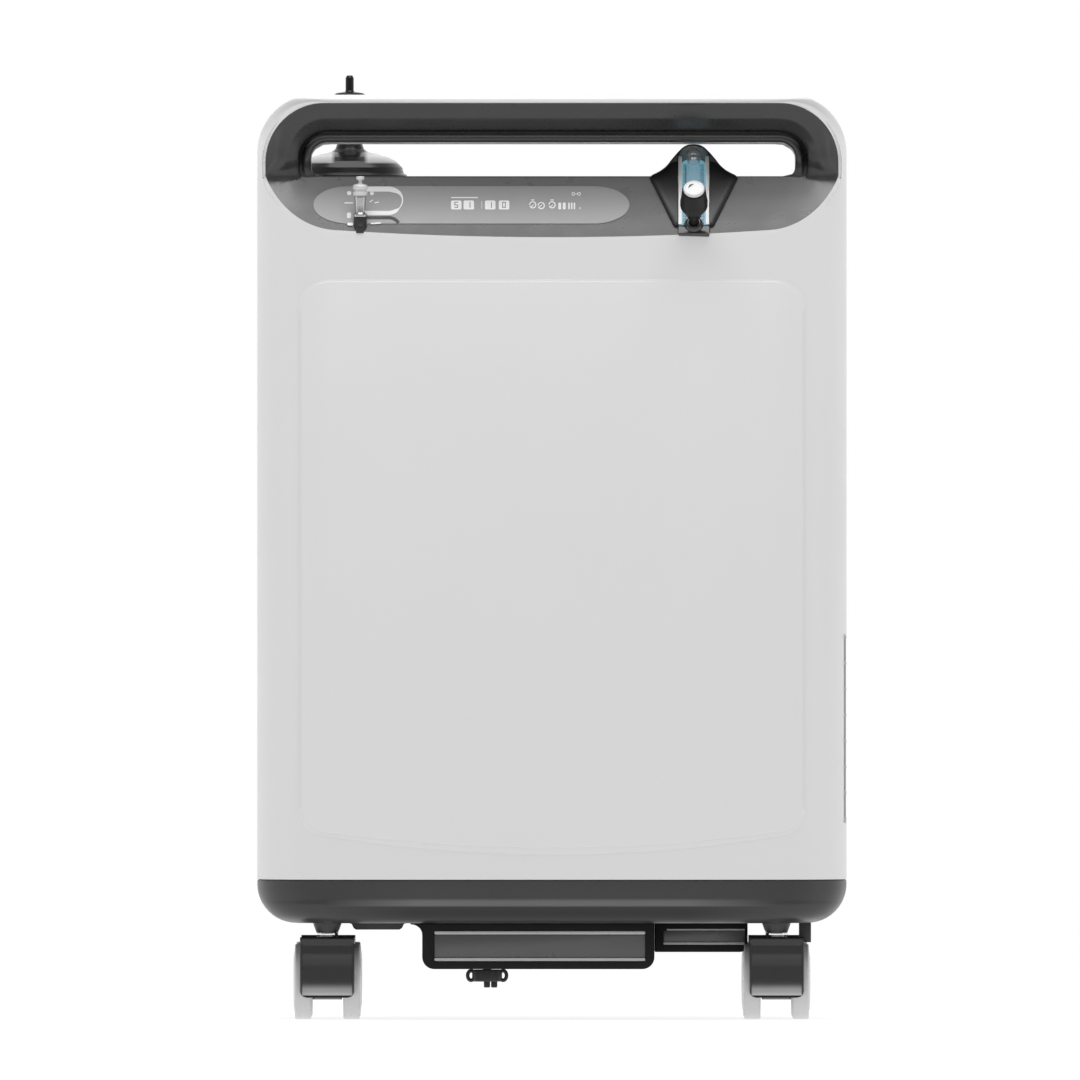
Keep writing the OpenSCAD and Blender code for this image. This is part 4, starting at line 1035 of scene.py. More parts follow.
def make_base_tray():
    """Dark tray with soft lower edges, wider at the sides, a ledge and two details under it."""
    low_r_side, low_r_end = 26.0, 14.0

    def plan(side, end):
        w = HALF_W - side
        front = front_half_outline(w, FRONT_Y + end, CORNER_R - min(side, 12), CROWN_R, SEAM_Y)
        back = back_half_outline(w, BACK_Y - end, max(REAR_R - max(side, end) * 0.5, 8), SEAM_Y)
        half = chain(front, back)
        return chain(half, mirrored(half))[:-1]

    rows = [at_height(plan(0.8, 1.4), SPLIT_Z - 0.15),
            at_height(plan(0.0, 0.7), SPLIT_Z - 1.0)]
    # A shallow ledge runs along the front and back, above the rounded lower edge
    ledge = {14.9: 0.7, 14.4: 0.6, 13.2: 0.12}
    for h in (26.0, 22.6, 19.3, 16.6, 14.9, 14.4, 13.2, 12.6, 10.2, 7.6, 5.4, 3.5, 2.0, 0.9, 0.2, 0.0):
        side = low_r_side * (1 - math.cos(math.asin(1 - h / low_r_side)))
        drop = max(0.0, 1 - h / low_r_end)
        end = low_r_end * (1 - math.sqrt(1 - drop ** 2))
        end = max(end, ledge.get(h, 0.7 if h > 14.9 else 0.0))
        rows.append(at_height(plan(side, end), BASE_Z + h))
    inner = plan(3.2, 3.2)
    shape = Shape()
    shape.grid([at_height(inner, SPLIT_Z - 14.0),
                at_height(inner, SPLIT_Z - 0.15)] + rows, close_u=True)
    shape.cap(rows[-1][::-1])
    shape.cap(at_height(inner, SPLIT_Z - 14.0))
    # Low bump and rib on the underside
    pads = Shape()
    bump = [(-136, 65), (-133, 63.6), (-131.6, 60.6), (-130, 59.5), (-101, 59.5), (-99.4, 60.6), (-98, 63.6),
            (-95, 65)]
    ring_prism(pads, rounded_path(bump, 1.2, 3), FRONT_Y + 50, FRONT_Y + 80, "y", 1.0)
    pads.block((164, FRONT_Y + 72, BASE_Z - 13), (172, FRONT_Y + 81, BASE_Z + 1))
    obj = shape.build("base_tray_skin", TRAY, weld=0.005, crease_deg=38)
    extra = pads.build("base_tray_ribs", TRAY, bevel=1.2)
    put(extra, "casing", "tray_grey")
    return put(obj, "casing", "tray_grey", "base_tray")


make_base_tray()


# ---------------------------------------------------------------- boxes under the base

def make_exhaust_box():
    """Deep box with a paler inset panel between two raised strips, whose pale grey is a painted highlight on
    its top and bottom bevels, and vents in its back.
    """
    low, high = box_mm("exhaust_box")
    p_low, p_high = box_mm("exhaust_panel")
    x0, x1, z0, z1 = low[0] + 8, high[0], low[2], high[2]
    outline = np.concatenate([
        arc((x0 + 8, z0 + 8), 8, 180, 270, 8), arc((x1 - 8, z0 + 8), 8, 270, 360, 8), [(x1, z1)],
        [(x0 - 8, z1)], arc((x0 - 8, z1 - 8), 8, 90, 0, 8)])
    shape = Shape()
    ring_prism(shape, outline, low[1], high[1], "y")
    box = shape.build("exhaust_box_skin", BOX, weld=0.002, crease_deg=30)
    pocket = Shape().prism(round_rect(p_low[0] - 0.2, p_low[2] - 0.2, p_high[0] + 0.2, p_high[2] + 0.2, 1.2),
                           low[1] - 2, low[1] + 2.6, "y")
    slots = [Shape().prism(round_rect(low[0] + 26 + i * 10.6, z0 + 8, low[0] + 31 + i * 10.6, z0 + 24, 1.2),
                           high[1] - 6, high[1] + 6, "y").build("slot", BOX) for i in range(12)]
    wing_low, wing_high = box_mm("wing_screw")
    mid = (wing_low + wing_high) / 2
    bore = Shape().lathe([(0, 0), (3.0, 0), (3.0, 90), (0, 90)], 32,
                         Matrix.Translation((mid[0], mid[1], z0 - 20))).build("bore", BOX)
    cut(box, pocket.build("pocket", BOX), bore, *slots)
    put(box, "casing", "tray_grey", "exhaust_box")
    lip = Shape()
    y = low[1] + 0.5
    ring_prism(lip, round_rect(p_low[0], p_low[2] + 2.4, p_high[0], p_high[2] - 2.4, 0.6),
               y + 0.6, y + 1.6, "y", 0.3)
    put(lip.build("exhaust_panel_skin", TRAY_PANEL, crease_deg=30), "casing", "tray_grey", "exhaust_panel")
    # Raised strips at the panel's top and bottom, their pale grey a painted highlight on the bevels
    bevel_highlights = Shape()
    for a, b in ((p_low[2], p_low[2] + 2.2), (p_high[2] - 2.2, p_high[2])):
        ring_prism(bevel_highlights, round_rect(p_low[0], a, p_high[0], b, 0.9), y - 0.2, y + 1.4, "y", 0.4)
    put(bevel_highlights.build("exhaust_panel_bevel_highlights", BEVEL_HIGHLIGHT, crease_deg=30), "casing", "tray_grey")


def make_duct_box():
    """Shallow box with a small inset panel between two raised strips, whose pale grey is a painted highlight on
    its top and bottom bevels.
    """
    low, high = box_mm("duct_box")
    outline = round_rect(low[0], low[2], high[0], high[2], (0.6, 5, 0.6, 0.6))
    box = Shape()
    ring_prism(box, outline, low[1], high[1], "y")
    box = box.build("duct_box_skin", BOX, weld=0.002, crease_deg=30)
    x0, x1, z0, z1 = low[0] + 5.5, low[0] + 60, low[2] + 4.6, low[2] + 15.6
    pocket = Shape().prism(round_rect(x0, z0, x1, z1, (0.6, 0.6, 0.6, 3.0)), low[1] - 2, low[1] + 1.8, "y")
    cut(box, pocket.build("pocket", BOX))
    put(box, "casing", "tray_grey", "duct_box")
    panel = Shape()
    ring_prism(panel, round_rect(x0 + 0.2, z0 + 2.2, x1 - 0.2, z1 - 1.4, (0.5, 0.5, 0.5, 1.2)),
               low[1] + 0.8, low[1] + 1.7, "y", 0.3)
    put(panel.build("duct_box_panel", TRAY_PANEL, crease_deg=30), "casing", "tray_grey")
    # Raised strips at the panel's top and bottom, their pale grey a painted highlight on the bevels
    bevel_highlights = Shape()
    ring_prism(bevel_highlights, round_rect(x0 + 0.2, z0 + 0.2, x1 - 0.2, z0 + 2.0, 0.8),
               low[1] + 0.3, low[1] + 1.7, "y", 0.4)
    ring_prism(bevel_highlights, round_rect(x0 + 2.4, z1 - 1.2, x1 - 0.2, z1 - 0.2, 0.4),
               low[1] + 0.3, low[1] + 1.7, "y", 0.2)
    put(bevel_highlights.build("duct_box_bevel_highlights", BEVEL_HIGHLIGHT, crease_deg=30), "casing", "tray_grey")


make_exhaust_box()
make_duct_box()


def make_wing_screw():
    """Threaded clamp with a drum head, a looped wing on each side and two stub feet."""
    low, high = box_mm("wing_screw")
    x, y = (low[0] + high[0]) / 2, (low[1] + high[1]) / 2
    place = Matrix.Translation((x, y, 0))
    z = low[2]
    shape = Shape()
    head = rounded_path([(0, z + 4.0), (9.6, z + 4.0), (9.9, z + 5.0), (9.9, z + 12.0), (0, z + 12.0)], 0.6, 3)
    shape.lathe(head, 48, place)
    for k in range(16):
        a = 2 * math.pi * k / 16
        shape.tube([(x + 9.55 * math.cos(a), y + 9.55 * math.sin(a), z + h) for h in (4.6, 8, 11.4)], 0.42, 8)
    shape.tube([(x, y, z + 11), (x, y, high[2])], 2.85, 24)
    thread = [(x + 2.75 * math.cos(t), y + 2.75 * math.sin(t), z + 16 + t * 0.32)
              for t in np.linspace(0, 2 * math.pi * 14, 14 * 16)]
    shape.tube(thread, 0.14, 6)
    for side in (-1, 1):
        t = np.linspace(-0.72 * math.pi, 0.72 * math.pi, 17)
        loop = [(x + side * (10.6 + 2.3 * math.cos(a)), y, z + 8.0 + 3.2 * math.sin(a)) for a in t]
        shape.tube(loop, 1.25, 12)
        foot = rounded_path([(0, z), (1.9, z), (2.1, z + 0.8), (2.1, z + 4.6), (0, z + 4.6)], 0.7, 3)
        shape.lathe(foot, 32, Matrix.Translation((x + 2.3 + side * 2.4, y, 0)))
    obj = shape.build("wing_screw_skin", BLACK, weld=0.002, crease_deg=35)
    return put(obj, "clamp_screw", "tray_grey", "wing_screw")


make_wing_screw()


# ---------------------------------------------------------------- casters

HOOD_R = 29.7
HOOD_HALF = 18.0


def make_sockets():
    """Ribbed sockets under the tray and the bright collars that the casters' stems turn in."""
    sockets, collars = Shape(), Shape()
    s_low, s_high = box_mm("caster_sockets")
    c_low, c_high = box_mm("caster_collars")
    xs = (s_low[0] + 13, s_high[0] - 13)
    ys = (s_low[1] + 13, s_high[1] - 13)
    base = s_low[2]
    for x in xs:
        for y in ys:
            place = Matrix.Translation((x, y, 0))
            wall = [(5.1, base + 0.1), (7.2, base), (7.5, base + 0.6), (9.3, base + 5.6), (9.3, base + 9.1),
                    (12.8, base + 9.1), (12.8, base + 12.9), (8.0, base + 13.0), (8.0, base + 40.0),
                    (5.1, base + 40.0), (5.1, base + 0.1)]
            sockets.lathe(rounded_path(wall, 0.25, 2), 48, place)
            for k in range(6):
                a = math.pi * (k + 0.5) / 3
                c, s = math.cos(a), math.sin(a)
                rib = [(x + r * c, y + r * s, base + h) for r, h in ((7.2, 0.8), (8.1, 3.2), (8.8, 5.4))]
                sockets.tube(rib, 0.55, 8)
            ring = [(5.1, c_low[2] + 0.05), (6.9, c_low[2] + 0.05), (7.25, c_low[2] + 0.5),
                    (7.25, c_high[2] - 0.5), (6.9, c_high[2] - 0.05), (5.1, c_high[2] - 0.05),
                    (5.1, c_low[2] + 0.05)]
            collars.lathe(rounded_path(ring, 0.2, 2), 48, place)
    put(sockets.build("caster_sockets_skin", TRAY, weld=0.002), "casing", "tray_grey", "caster_sockets")
    put(collars.build("caster_collars_skin", CHROME, weld=0.002), "casing", "chrome", "caster_collars")


make_sockets()


def hood_outline():
    """Outer and inner outline of the mudguard, in (y, z) from the axle: upright front, round back."""
    front_deg = 180 + math.degrees(math.asin(10.6 / HOOD_R))
    edge = 1.4
    outer = chain(arc((0, 0), HOOD_R, front_deg, 180, 14), line((-HOOD_R, 0), (-HOOD_R, HOOD_R - edge), 20),
                  arc((edge - HOOD_R, HOOD_R - edge), edge, 180, 90, 6),
                  line((edge - HOOD_R, HOOD_R), (0, HOOD_R - 1), 16), arc((0, 0), HOOD_R - 1, 90, 38, 16))
    angle = np.arctan2(outer[:, 1], outer[:, 0])
    return outer, 26.4 * np.column_stack([np.cos(angle), np.sin(angle)])


def make_hood(key, x, y, z):
    """Glossy mudguard with a raised lip at each side, the web between the wheels, the stem and its cap."""
    outer, inner = hood_outline()
    shape = Shape()
    half = HOOD_HALF
    corner = 4.6
    n = len(outer)
    length = np.concatenate([[0], np.cumsum(np.linalg.norm(np.diff(outer, axis=0), axis=1))])
    run = np.gradient(outer, axis=0)
    normal = np.column_stack([run[:, 1], -run[:, 0]])
    normal /= np.linalg.norm(normal, axis=1)[:, None]
    if (normal[n // 4] * outer[n // 4]).sum() < 0:
        normal = -normal
    across = np.array([-1.0, -0.985, -0.94, -0.9, -0.82, -0.6, -0.3, 0, 0.3, 0.6, 0.82, 0.9, 0.94, 0.985, 1.0])
    lip = np.array([0.5, 0.05, 0.0, 0.9, 1.05, 1.05, 1.05, 1.05, 1.05, 1.05, 1.05, 0.9, 0.0, 0.05, 0.5])
    rows, inner_rows = [], []
    for k in range(n):
        s = min(length[k], length[-1] - length[k])
        w = half - (corner - math.sqrt(corner ** 2 - max(0.0, corner - s) ** 2))
        sink = lip * min(1.0, s / 1.5) * smooth01((HOOD_R - 2.0 - outer[k, 1]) / 2.0)
        sink = np.maximum(sink, 0.35 * (s < 0.01))
        p = outer[k] - normal[k] * sink[:, None]
        rows.append(np.stack([x + across * w, y + p[:, 0], z + p[:, 1]], 1))
        inner_rows.append(np.stack([x + across * (w - 0.3), np.full(15, y + inner[k, 0]),
                                    np.full(15, z + inner[k, 1])], 1))
    inner_rows.reverse()
    shape.grid(rows + inner_rows, close_v=True)
    for side in (0, -1):
        ring = [r[side] for r in rows + inner_rows]
        shape.grid([np.array(ring[:n]), np.array(ring[n:][::-1])])
    web = np.concatenate([arc((0, 0), HOOD_R - 1.6, 196, 60, 36), [(16, 14), (10, -6)],
                          arc((0, 0), 12, -30, -150, 14), [(-24, -10.4)]])
    ring_prism(shape, web + np.array([y, z]), x - 9.8, x + 9.8, "x", 0.6)
    hood = shape.build("caster_" + key + "_hood", HOOD, weld=0.02, crease_deg=32)
    put(hood, "caster_" + key, "gloss_black", "caster_" + key + "_body")
    stem = Shape()
    _, high = box_mm("caster_" + key + "_body")
    sx, sy = x, y - 20
    body = [(0, z - 2), (4.95, z - 2), (4.95, high[2] - 1.0), (4.2, high[2]), (0, high[2])]
    stem.lathe(rounded_path(body, 0.4, 2), 40, Matrix.Translation((sx, sy, 0)))
    # Cap over the foot of the stem
    cap = [(0, z + HOOD_R - 6), (6.9, z + HOOD_R - 6), (6.9, 54.6), (6.3, 55.3), (0, 55.3)]
    hub = Shape().lathe(rounded_path(cap, 0.5, 3), 40, Matrix.Translation((sx, sy, 0)))
    put(stem.build("caster_" + key + "_stem", STEEL, weld=0.002), "caster_" + key, "steel")
    put(hub.build("caster_" + key + "_cap", GLOSS_BLACK, weld=0.002), "caster_" + key, "gloss_black")


def make_wheel(key, side, x, y, z):
    """Wheel with a softly domed face, a groove inside its square tread, spokes behind and a pin head."""
    node = "caster_%s_wheel_%s" % (key, side)
    low, high = box_mm(node)
    r = (high[1] - low[1]) / 2 - 0.01
    outer_x = low[0] if low[0] < x - 20 or (low[0] < x and high[0] < x) else high[0]
    inner_x = high[0] if outer_x == low[0] else low[0]
    sign = 1 if outer_x > inner_x else -1
    width = abs(outer_x - inner_x)
    spin = Matrix.Translation((inner_x, y, z)) @ Matrix.Rotation(math.radians(90 * sign), 4, "Y")
    profile = [(3.1, 0.6), (7.6, 0.4), (8.0, 0.8), (8.4, 5.6), (20.4, 5.6), (20.9, 0.6), (r - 1.2, 0.05),
               (r - 0.1, 0.9), (r, 1.8), (r, width - 2.2), (r - 0.2, width - 1.35), (r - 0.9, width - 1.05),
               (r - 2.4, width - 1.05), (r - 2.9, width - 1.3), (r - 3.5, width - 0.95), (r - 9, width - 0.15),
               (8, width - 0.05), (6.4, width - 0.1), (6.0, width - 0.7), (3.1, width - 0.7), (3.1, 0.6)]
    shape = Shape()
    shape.lathe(rounded_path(profile, 0.5, 2), 96, spin)
    for k in range(8):
        a = 2 * math.pi * k / 8
        c, s = math.cos(a), math.sin(a)
        path = [(c * q, s * q, 4.6) for q in (7.6, 14, 20.9)]
        shape.tube(path, 1.0, 8, place=spin)
    obj = shape.build(node + "_skin", WHEEL, weld=0.002, crease_deg=38)
    put(obj, "wheel_%s_%s" % (key, side), "wheel_grey", node)
    pin = Shape()
    head = [(0, width - 0.9), (4.6, width - 0.9), (5.2, width - 0.6), (4.4, width - 0.25), (0, width - 0.12)]
    pin.lathe(head, 32, spin)
    put(pin.build(node + "_pin", STEEL, weld=0.002), "wheel_%s_%s" % (key, side), "steel")


CASTERS = ("front_left", "front_right", "rear_left", "rear_right")
for corner_key in CASTERS:
    axle_low, axle_high = box_mm("caster_%s_axle" % corner_key)
    axle = (axle_low + axle_high) / 2
    make_hood(corner_key, *axle)
    for wheel_side in ("in", "out"):
        make_wheel(corner_key, wheel_side, *axle)


# ---------------------------------------------------------------- overlay with generic marks

def up_slope(z):
    """Distance up the slope of a height."""
    return (z - SLOPE_Z) / math.sin(math.radians(SLOPE_DEG))


def on_slope_x_z(outline):
    """(x, z) points of a front view as (x, w) on the slope."""
    outline = np.asarray(outline, float)
    return np.stack([outline[:, 0], up_slope(outline[:, 1])], 1)


def overlay_outline(inset):
    """Closed (x, w) outline of the overlay on the slope: straight edges and bowed ends."""
    low, high = box_mm("display_overlay")
    x0, x1 = low[0] + inset, high[0] - inset
    w0, w1 = up_slope(low[2] + 0.4) + inset, up_slope(high[2] - 0.1) - inset
    mid = (w0 + w1) / 2
    half = (w1 - w0) / 2
    reach = 24.0
    t = np.linspace(-math.pi / 2, math.pi / 2, 28)
    right = np.stack([x1 - reach + reach * np.cos(t), mid + half * np.sin(t)], 1)
    left = np.stack([x0 + reach - reach * np.cos(t[::-1]), mid + half * np.sin(t[::-1])], 1)
    return np.concatenate([right, left])


def make_overlay():
    """Grey membrane overlay on the slope."""
    shape = Shape()
    rows = []
    for inset, d in ((0.0, 0.02), (0.05, 0.45), (0.3, 0.62)):
        flat = overlay_outline(inset)
        rows.append(at_height(flat, d))
    shape.grid(rows, close_u=True, place=SLOPE)
    shape.cap(rows[-1], place=SLOPE)
    shape.cap(rows[0][::-1], place=SLOPE)
    put(shape.build("display_overlay_skin", OVERLAY, weld=0.002, crease_deg=25), "casing", "overlay_grey",
        "display_overlay")


make_overlay()

# Printed marks: their height over the slope and their thickness
PRINT_D = 0.63
PRINT_T = 0.05


def printed(name, outlines, material=PRINT_WHITE, depth=PRINT_T):
    """Flat printed marks on the overlay, from closed (x, z) outlines of the front view."""
    shape = Shape()
    for outline in outlines:
        flat = on_slope_x_z(outline)
        shape.prism(flat, PRINT_D, PRINT_D + depth, place=SLOPE)
    put(shape.build(name, material, weld=0.0005, crease_deg=30), "casing", "overlay_grey")


def stroke(points, widths):
    """A closed outline round a curved line of varying width."""
    points = np.asarray(points, float)
    widths = np.broadcast_to(widths, (len(points),))
    heading = np.gradient(points, axis=0)
    heading /= np.linalg.norm(heading, axis=1)[:, None]
    normal = np.stack([-heading[:, 1], heading[:, 0]], 1)
    side = normal * widths[:, None] / 2
    return np.concatenate([points + side, (points - side)[::-1]])


SEGMENTS = {"0": "abcdef", "1": "bc", "3": "abgcd", "5": "afgcd", "8": "abcdefg"}


def digit(char, x, z, w, h, t):
    """Outlines of a seven-segment figure whose lower left corner is at x, z."""
    top, mid, low = z + h, z + h / 2, z
    bars = {
        "a": (x, top - t, x + w, top), "g": (x, mid - t / 2, x + w, mid + t / 2), "d": (x, low, x + w, low + t),
        "f": (x, mid, x + t, top), "b": (x + w - t, mid, x + w, top),
        "e": (x, low, x + t, mid), "c": (x + w - t, low, x + w, mid)}
    return [round_rect(*bars[k], 0.12, 2) for k in SEGMENTS[char]]


def make_marks():
    """Generic figures, signs and lines on the overlay; none of them is lettering."""
    z0, z1 = 536.6, 542.6
    tiles, figures = [], []
    for x, char in ((-66.9, "5"), (-58.6, "1"), (-44.4, "1"), (-35.2, "0")):
        tiles.append(round_rect(x, z0, x + 7.0, z1, 0.9, 3))
        figures += digit(char, x + 2.3, z0 + 1.0, 2.3, z1 - z0 - 2.0, 0.55)
    tiles.append(round_rect(-66.8, 544.2, -49.0, 544.9, 0.2, 2))
    tiles.append(round_rect(-46.6, z0 + 0.6, -46.3, z1 - 0.4, 0.1, 2))
    for k, x in enumerate((-15.0, -9.4, -2.2)):
        top = z1 + (0.2 if k != 1 else -0.8)
        centre = (x + 2.3, z0 + (top - z0) / 2)
        tiles.append(stroke(arc(centre, 2.05, 200, 540 - 2, 22), 0.75))
        figures.append(stroke(arc((x + 2.3, z0 + 3.2), 0.9, 200, -20, 8), 0.5))
        tiles.append(stroke(line((x + 1.2, z0 + 1.6), (x + 3.4, z0 + 4.0), 3), 0.55))
        if k != 1:
            tiles.append(round_rect(x + 1.2, top - 0.2, x + 3.4, top + 0.5, 0.2, 2))
    for k, x in enumerate((4.2, 7.2, 10.8, 12.6, 14.4)):
        wide = 1.9 if k < 2 else 1.0
        tiles.append(round_rect(x, z0 + 0.1, x + wide, z1 - 1.4, 0.45, 3))
    tiles.append(round_rect(18.4, z0 + 0.2, 18.9, z0 + 1.6, 0.15, 2))
    for x in (14.2, 18.0):
        tiles.append(stroke(arc((x, 547.0), 0.95, 20, 378, 14), 0.55))
    tiles.append(round_rect(15.6, 546.8, 17.0, 547.3, 0.15, 2))
    printed("overlay_marks_white", tiles)
    printed("overlay_marks_figures", figures, PRINT_GREY, depth=PRINT_T + 0.03)
    # Loop round the outlet: thick at the top, thin where it turns down
    out_x = OUTLET_X
    turn = arc((out_x + 18.5, 543.0), 9.5, 90, -90, 22)
    loop = chain(line((out_x + 3, 552.5), turn[0], 4), turn, line(turn[-1], (out_x + 3, 533.5), 4))
    share = np.linspace(0, 1, len(loop))
    width = np.interp(share, (0, 0.22, 0.45, 0.66, 0.74, 1), (3.4, 3.4, 1.0, 0.5, 2.6, 2.8))
    loop[:, 1] += np.interp(share, (0, 0.22, 0.5, 0.74, 1), (-2.3, -2.3, 0, 0.8, 0.8))
    printed("overlay_outlet_loop", [stroke(loop, width)])
    hook = chain(line((out_x + 3, 531.1), (out_x + 19, 531.1), 5),
                 arc((out_x + 19, 523.6), 7.5, 90, 32, 8))
    printed("overlay_outlet_line", [stroke(hook, 2.2)], PRINT_BLACK)
    ticks = [stroke(line((out_x - 10.4, 541.0), (out_x - 4.8, 541.0), 2), 0.7),
             stroke(line((out_x + 6.2, 541.6), (out_x + 8.4, 543.0), 2), 0.6),
             stroke(line((out_x + 9.4, 541.0), (out_x + 12.4, 541.6), 2), 0.6),
             round_rect(out_x - 8.8, 530.8, out_x - 6.0, 534.6, 1.0, 3),
             round_rect(out_x - 8.8, 546.2, out_x - 6.0, 548.8, 1.0, 3),
             round_rect(out_x + 6.4, 546.2, out_x + 9.0, 548.4, 0.9, 3),
             round_rect(out_x - 8.6, 525.9, out_x - 4.6, 527.8, 0.8, 3),
             stroke(line((out_x + 7.0, 527.2), (out_x + 13.6, 527.6), 3), 1.0)]
    printed("overlay_outlet_ticks", ticks)


OUTLET_LOW, OUTLET_HIGH = box_mm("oxygen_outlet")
OUTLET_X = (OUTLET_LOW[0] + OUTLET_HIGH[0]) / 2
OUTLET_Y = (OUTLET_LOW[1] + OUTLET_HIGH[1]) / 2
make_marks()


def make_outlet():
    """Oxygen outlet: ribbed dark foot, silver barrel, and a white cap with a thin neck and a knob."""
    place = Matrix.Translation((OUTLET_X, OUTLET_Y, 0))
    top = OUTLET_HIGH[2]
    z = top - 20
    barrel = [(0, z + 6.1), (4.8, z + 6.1), (4.85, z + 7.8), (3.9, z + 8.1), (3.45, z + 9), (3.7, z + 14),
              (4.1, z + 18.6), (4.15, z + 19.9), (0, z + 19.95)]
    foot = [(0, z - 4.8), (4.2, z - 4.8), (4.25, z + 0.4), (3.9, z + 0.8), (3.9, z + 1.4), (4.25, z + 1.8),
            (4.25, z + 6.0), (0, z + 6.0)]
    shape = Shape().lathe(rounded_path(barrel, 0.25, 3), 64, place)
    put(shape.build("oxygen_outlet_barrel", OUTLET_METAL, weld=0.002), "casing", "chrome", "oxygen_outlet")
    base = Shape().lathe(rounded_path(foot, 0.2, 2), 64, place)
    for k in range(12):
        a = 2 * math.pi * k / 12
        px, py = OUTLET_X + 4.05 * math.cos(a), OUTLET_Y + 4.05 * math.sin(a)
        base.tube([(px, py, z + 2.0), (px, py, z + 5.7)], 0.3, 6)
    put(base.build("oxygen_outlet_foot", BLACK, weld=0.002), "casing", "black_plastic")
    tip_low, _ = box_mm("outlet_tip")
    z = tip_low[2]
    cap = [(0, z), (4.4, z), (5.0, z + 1.2), (4.95, z + 2.6), (4.1, z + 2.8), (4.1, z + 4.0), (4.95, z + 4.2),
           (5.0, z + 6.2), (4.2, z + 7.3), (1.5, z + 7.9), (1.1, z + 8.6), (1.1, z + 10.0), (2.3, z + 10.6),
           (2.75, z + 11.4), (2.75, z + 12.2), (2.3, z + 12.8), (1.3, z + 12.85), (1.1, z + 12.2),
           (0, z + 12.1)]
    shape = Shape().lathe(rounded_path(cap, 0.3, 3), 64, place)
    put(shape.build("outlet_tip_skin", CAP_WHITE, weld=0.002), "casing", "cap_white", "outlet_tip")


make_outlet()


# ---------------------------------------------------------------- flowmeter

METER_LOW, METER_HIGH = box_mm("flowmeter_block")
METER_X = (METER_LOW[0] + METER_HIGH[0]) / 2
METER_HALF = (METER_HIGH[0] - METER_LOW[0]) / 2
METER_END = 78.0
METER_FACE = 2.0
METER_FOOT = 9.0
TUBE_D = METER_FACE - 6.5
METER = SLOPE @ Matrix.Translation((METER_X, 0, 0))
ALONG = METER @ Matrix.Translation((0, 0, TUBE_D)) @ Matrix.Rotation(math.radians(-90), 4, "X")


def make_meter():
    """Clear block with a round head and a bore, its scale plate with marks, edge strips and the float."""
    half = METER_HALF - 0.15
    head = arc((0, METER_END - half), half, 0, 180, 24)
    outline = np.concatenate([[(half, METER_FOOT + 0.1)], head, [(-half, METER_FOOT + 0.1)]])
    block = Shape()
    ring_prism(block, outline, METER_FACE - 11.6, METER_FACE - 0.05, "z", 0.7, place=METER)
    block = block.build("flowmeter_block_skin", CLEAR, weld=0.002, crease_deg=30)
    bore = Shape().lathe([(0, METER_FOOT + 5), (4.3, METER_FOOT + 5), (4.3, METER_END + 9), (0, METER_END + 9)],
                         48, ALONG)
    well_path = [(0, METER_FACE - 8), (6.15, METER_FACE - 8), (6.15, METER_FACE + 3), (0, METER_FACE + 3)]
    well = Shape().lathe(well_path, 48, METER @ Matrix.Translation((0, METER_FOOT, 0)))
    cut(block, bore.build("bore", CLEAR), well.build("well", CLEAR))
    put(block, "casing", "clear_block", "flowmeter_block")
    plate = Shape()
    low_d = METER_FACE - 13.7
    w1 = METER_END - 5
    outline = np.concatenate([[(half - 0.8, METER_FOOT + 0.4)],
                              arc((0, METER_END - half), half - 0.8, 0, 180, 24),
                              [(0.8 - half, METER_FOOT + 0.4)]])
    ring_prism(plate, outline, low_d, low_d + 1.7, "z", 0.3, place=METER)
    put(plate.build("flowmeter_scale_skin", BLUE, crease_deg=30), "casing", "scale_blue", "flowmeter_scale")
    bars = Shape()
    for side in (-1, 1):
        x0, x1 = sorted((side * 4.4, side * 6.9))
        bars.prism(round_rect(x0, METER_FOOT + 6, x1, w1 - 1, 0.3), low_d + 1.7, low_d + 1.85, place=METER)
    put(bars.build("flowmeter_scale_bars", DEEP_BLUE, crease_deg=30), "casing", "scale_blue")
    marks = Shape()
    for k in range(21):
        long = 2.2 if k % 5 == 0 else 1.2
        w = METER_FOOT + 16 + k * 2.0
        for x0, x1 in ((4.6, 4.6 + long), (-4.6 - long, -4.6)):
            marks.prism(round_rect(x0, w, x1, w + 0.35, 0.1, 2), low_d + 1.85, low_d + 1.95, place=METER)
    put(marks.build("flowmeter_scale_marks", PRINT_WHITE, crease_deg=30), "casing", "scale_blue")
    pointer = Shape()
    pointer.prism(round_rect(-5.6, METER_FOOT + 8, -4.9, w1 - 3, 0.2), low_d + 1.95, low_d + 2.05, place=METER)
    put(pointer.build("flowmeter_guide_line", BROWN, crease_deg=30), "casing", "scale_blue")
    edges = Shape()
    for side in (-1, 1):
        x0, x1 = sorted((side * (METER_HALF - 0.25), side * (METER_HALF - 2.7)))
        ring_prism(edges, round_rect(x0, METER_FOOT + 0.4, x1, METER_END - 9.5, 0.3), METER_FACE - 0.04,
                   METER_FACE + 0.55, "z", 0.2, place=METER)
    put(edges.build("flowmeter_edge_strips", STRIP, crease_deg=30), "casing", "clear_block")
    ball_path = [(0, 40.05), (2.3, 40.1), (2.7, 40.8), (4.15, 44), (4.15, 45.0), (3.7, 45.3), (3.7, 46.2),
                 (4.15, 46.5), (4.15, 47.6), (3.8, 47.95), (0, 47.95)]
    ball = Shape().lathe(rounded_path(ball_path, 0.2, 2), 48, ALONG)
    put(ball.build("flowmeter_float_skin", CAP_WHITE, weld=0.002), "float", "cap_white", "flowmeter_float")


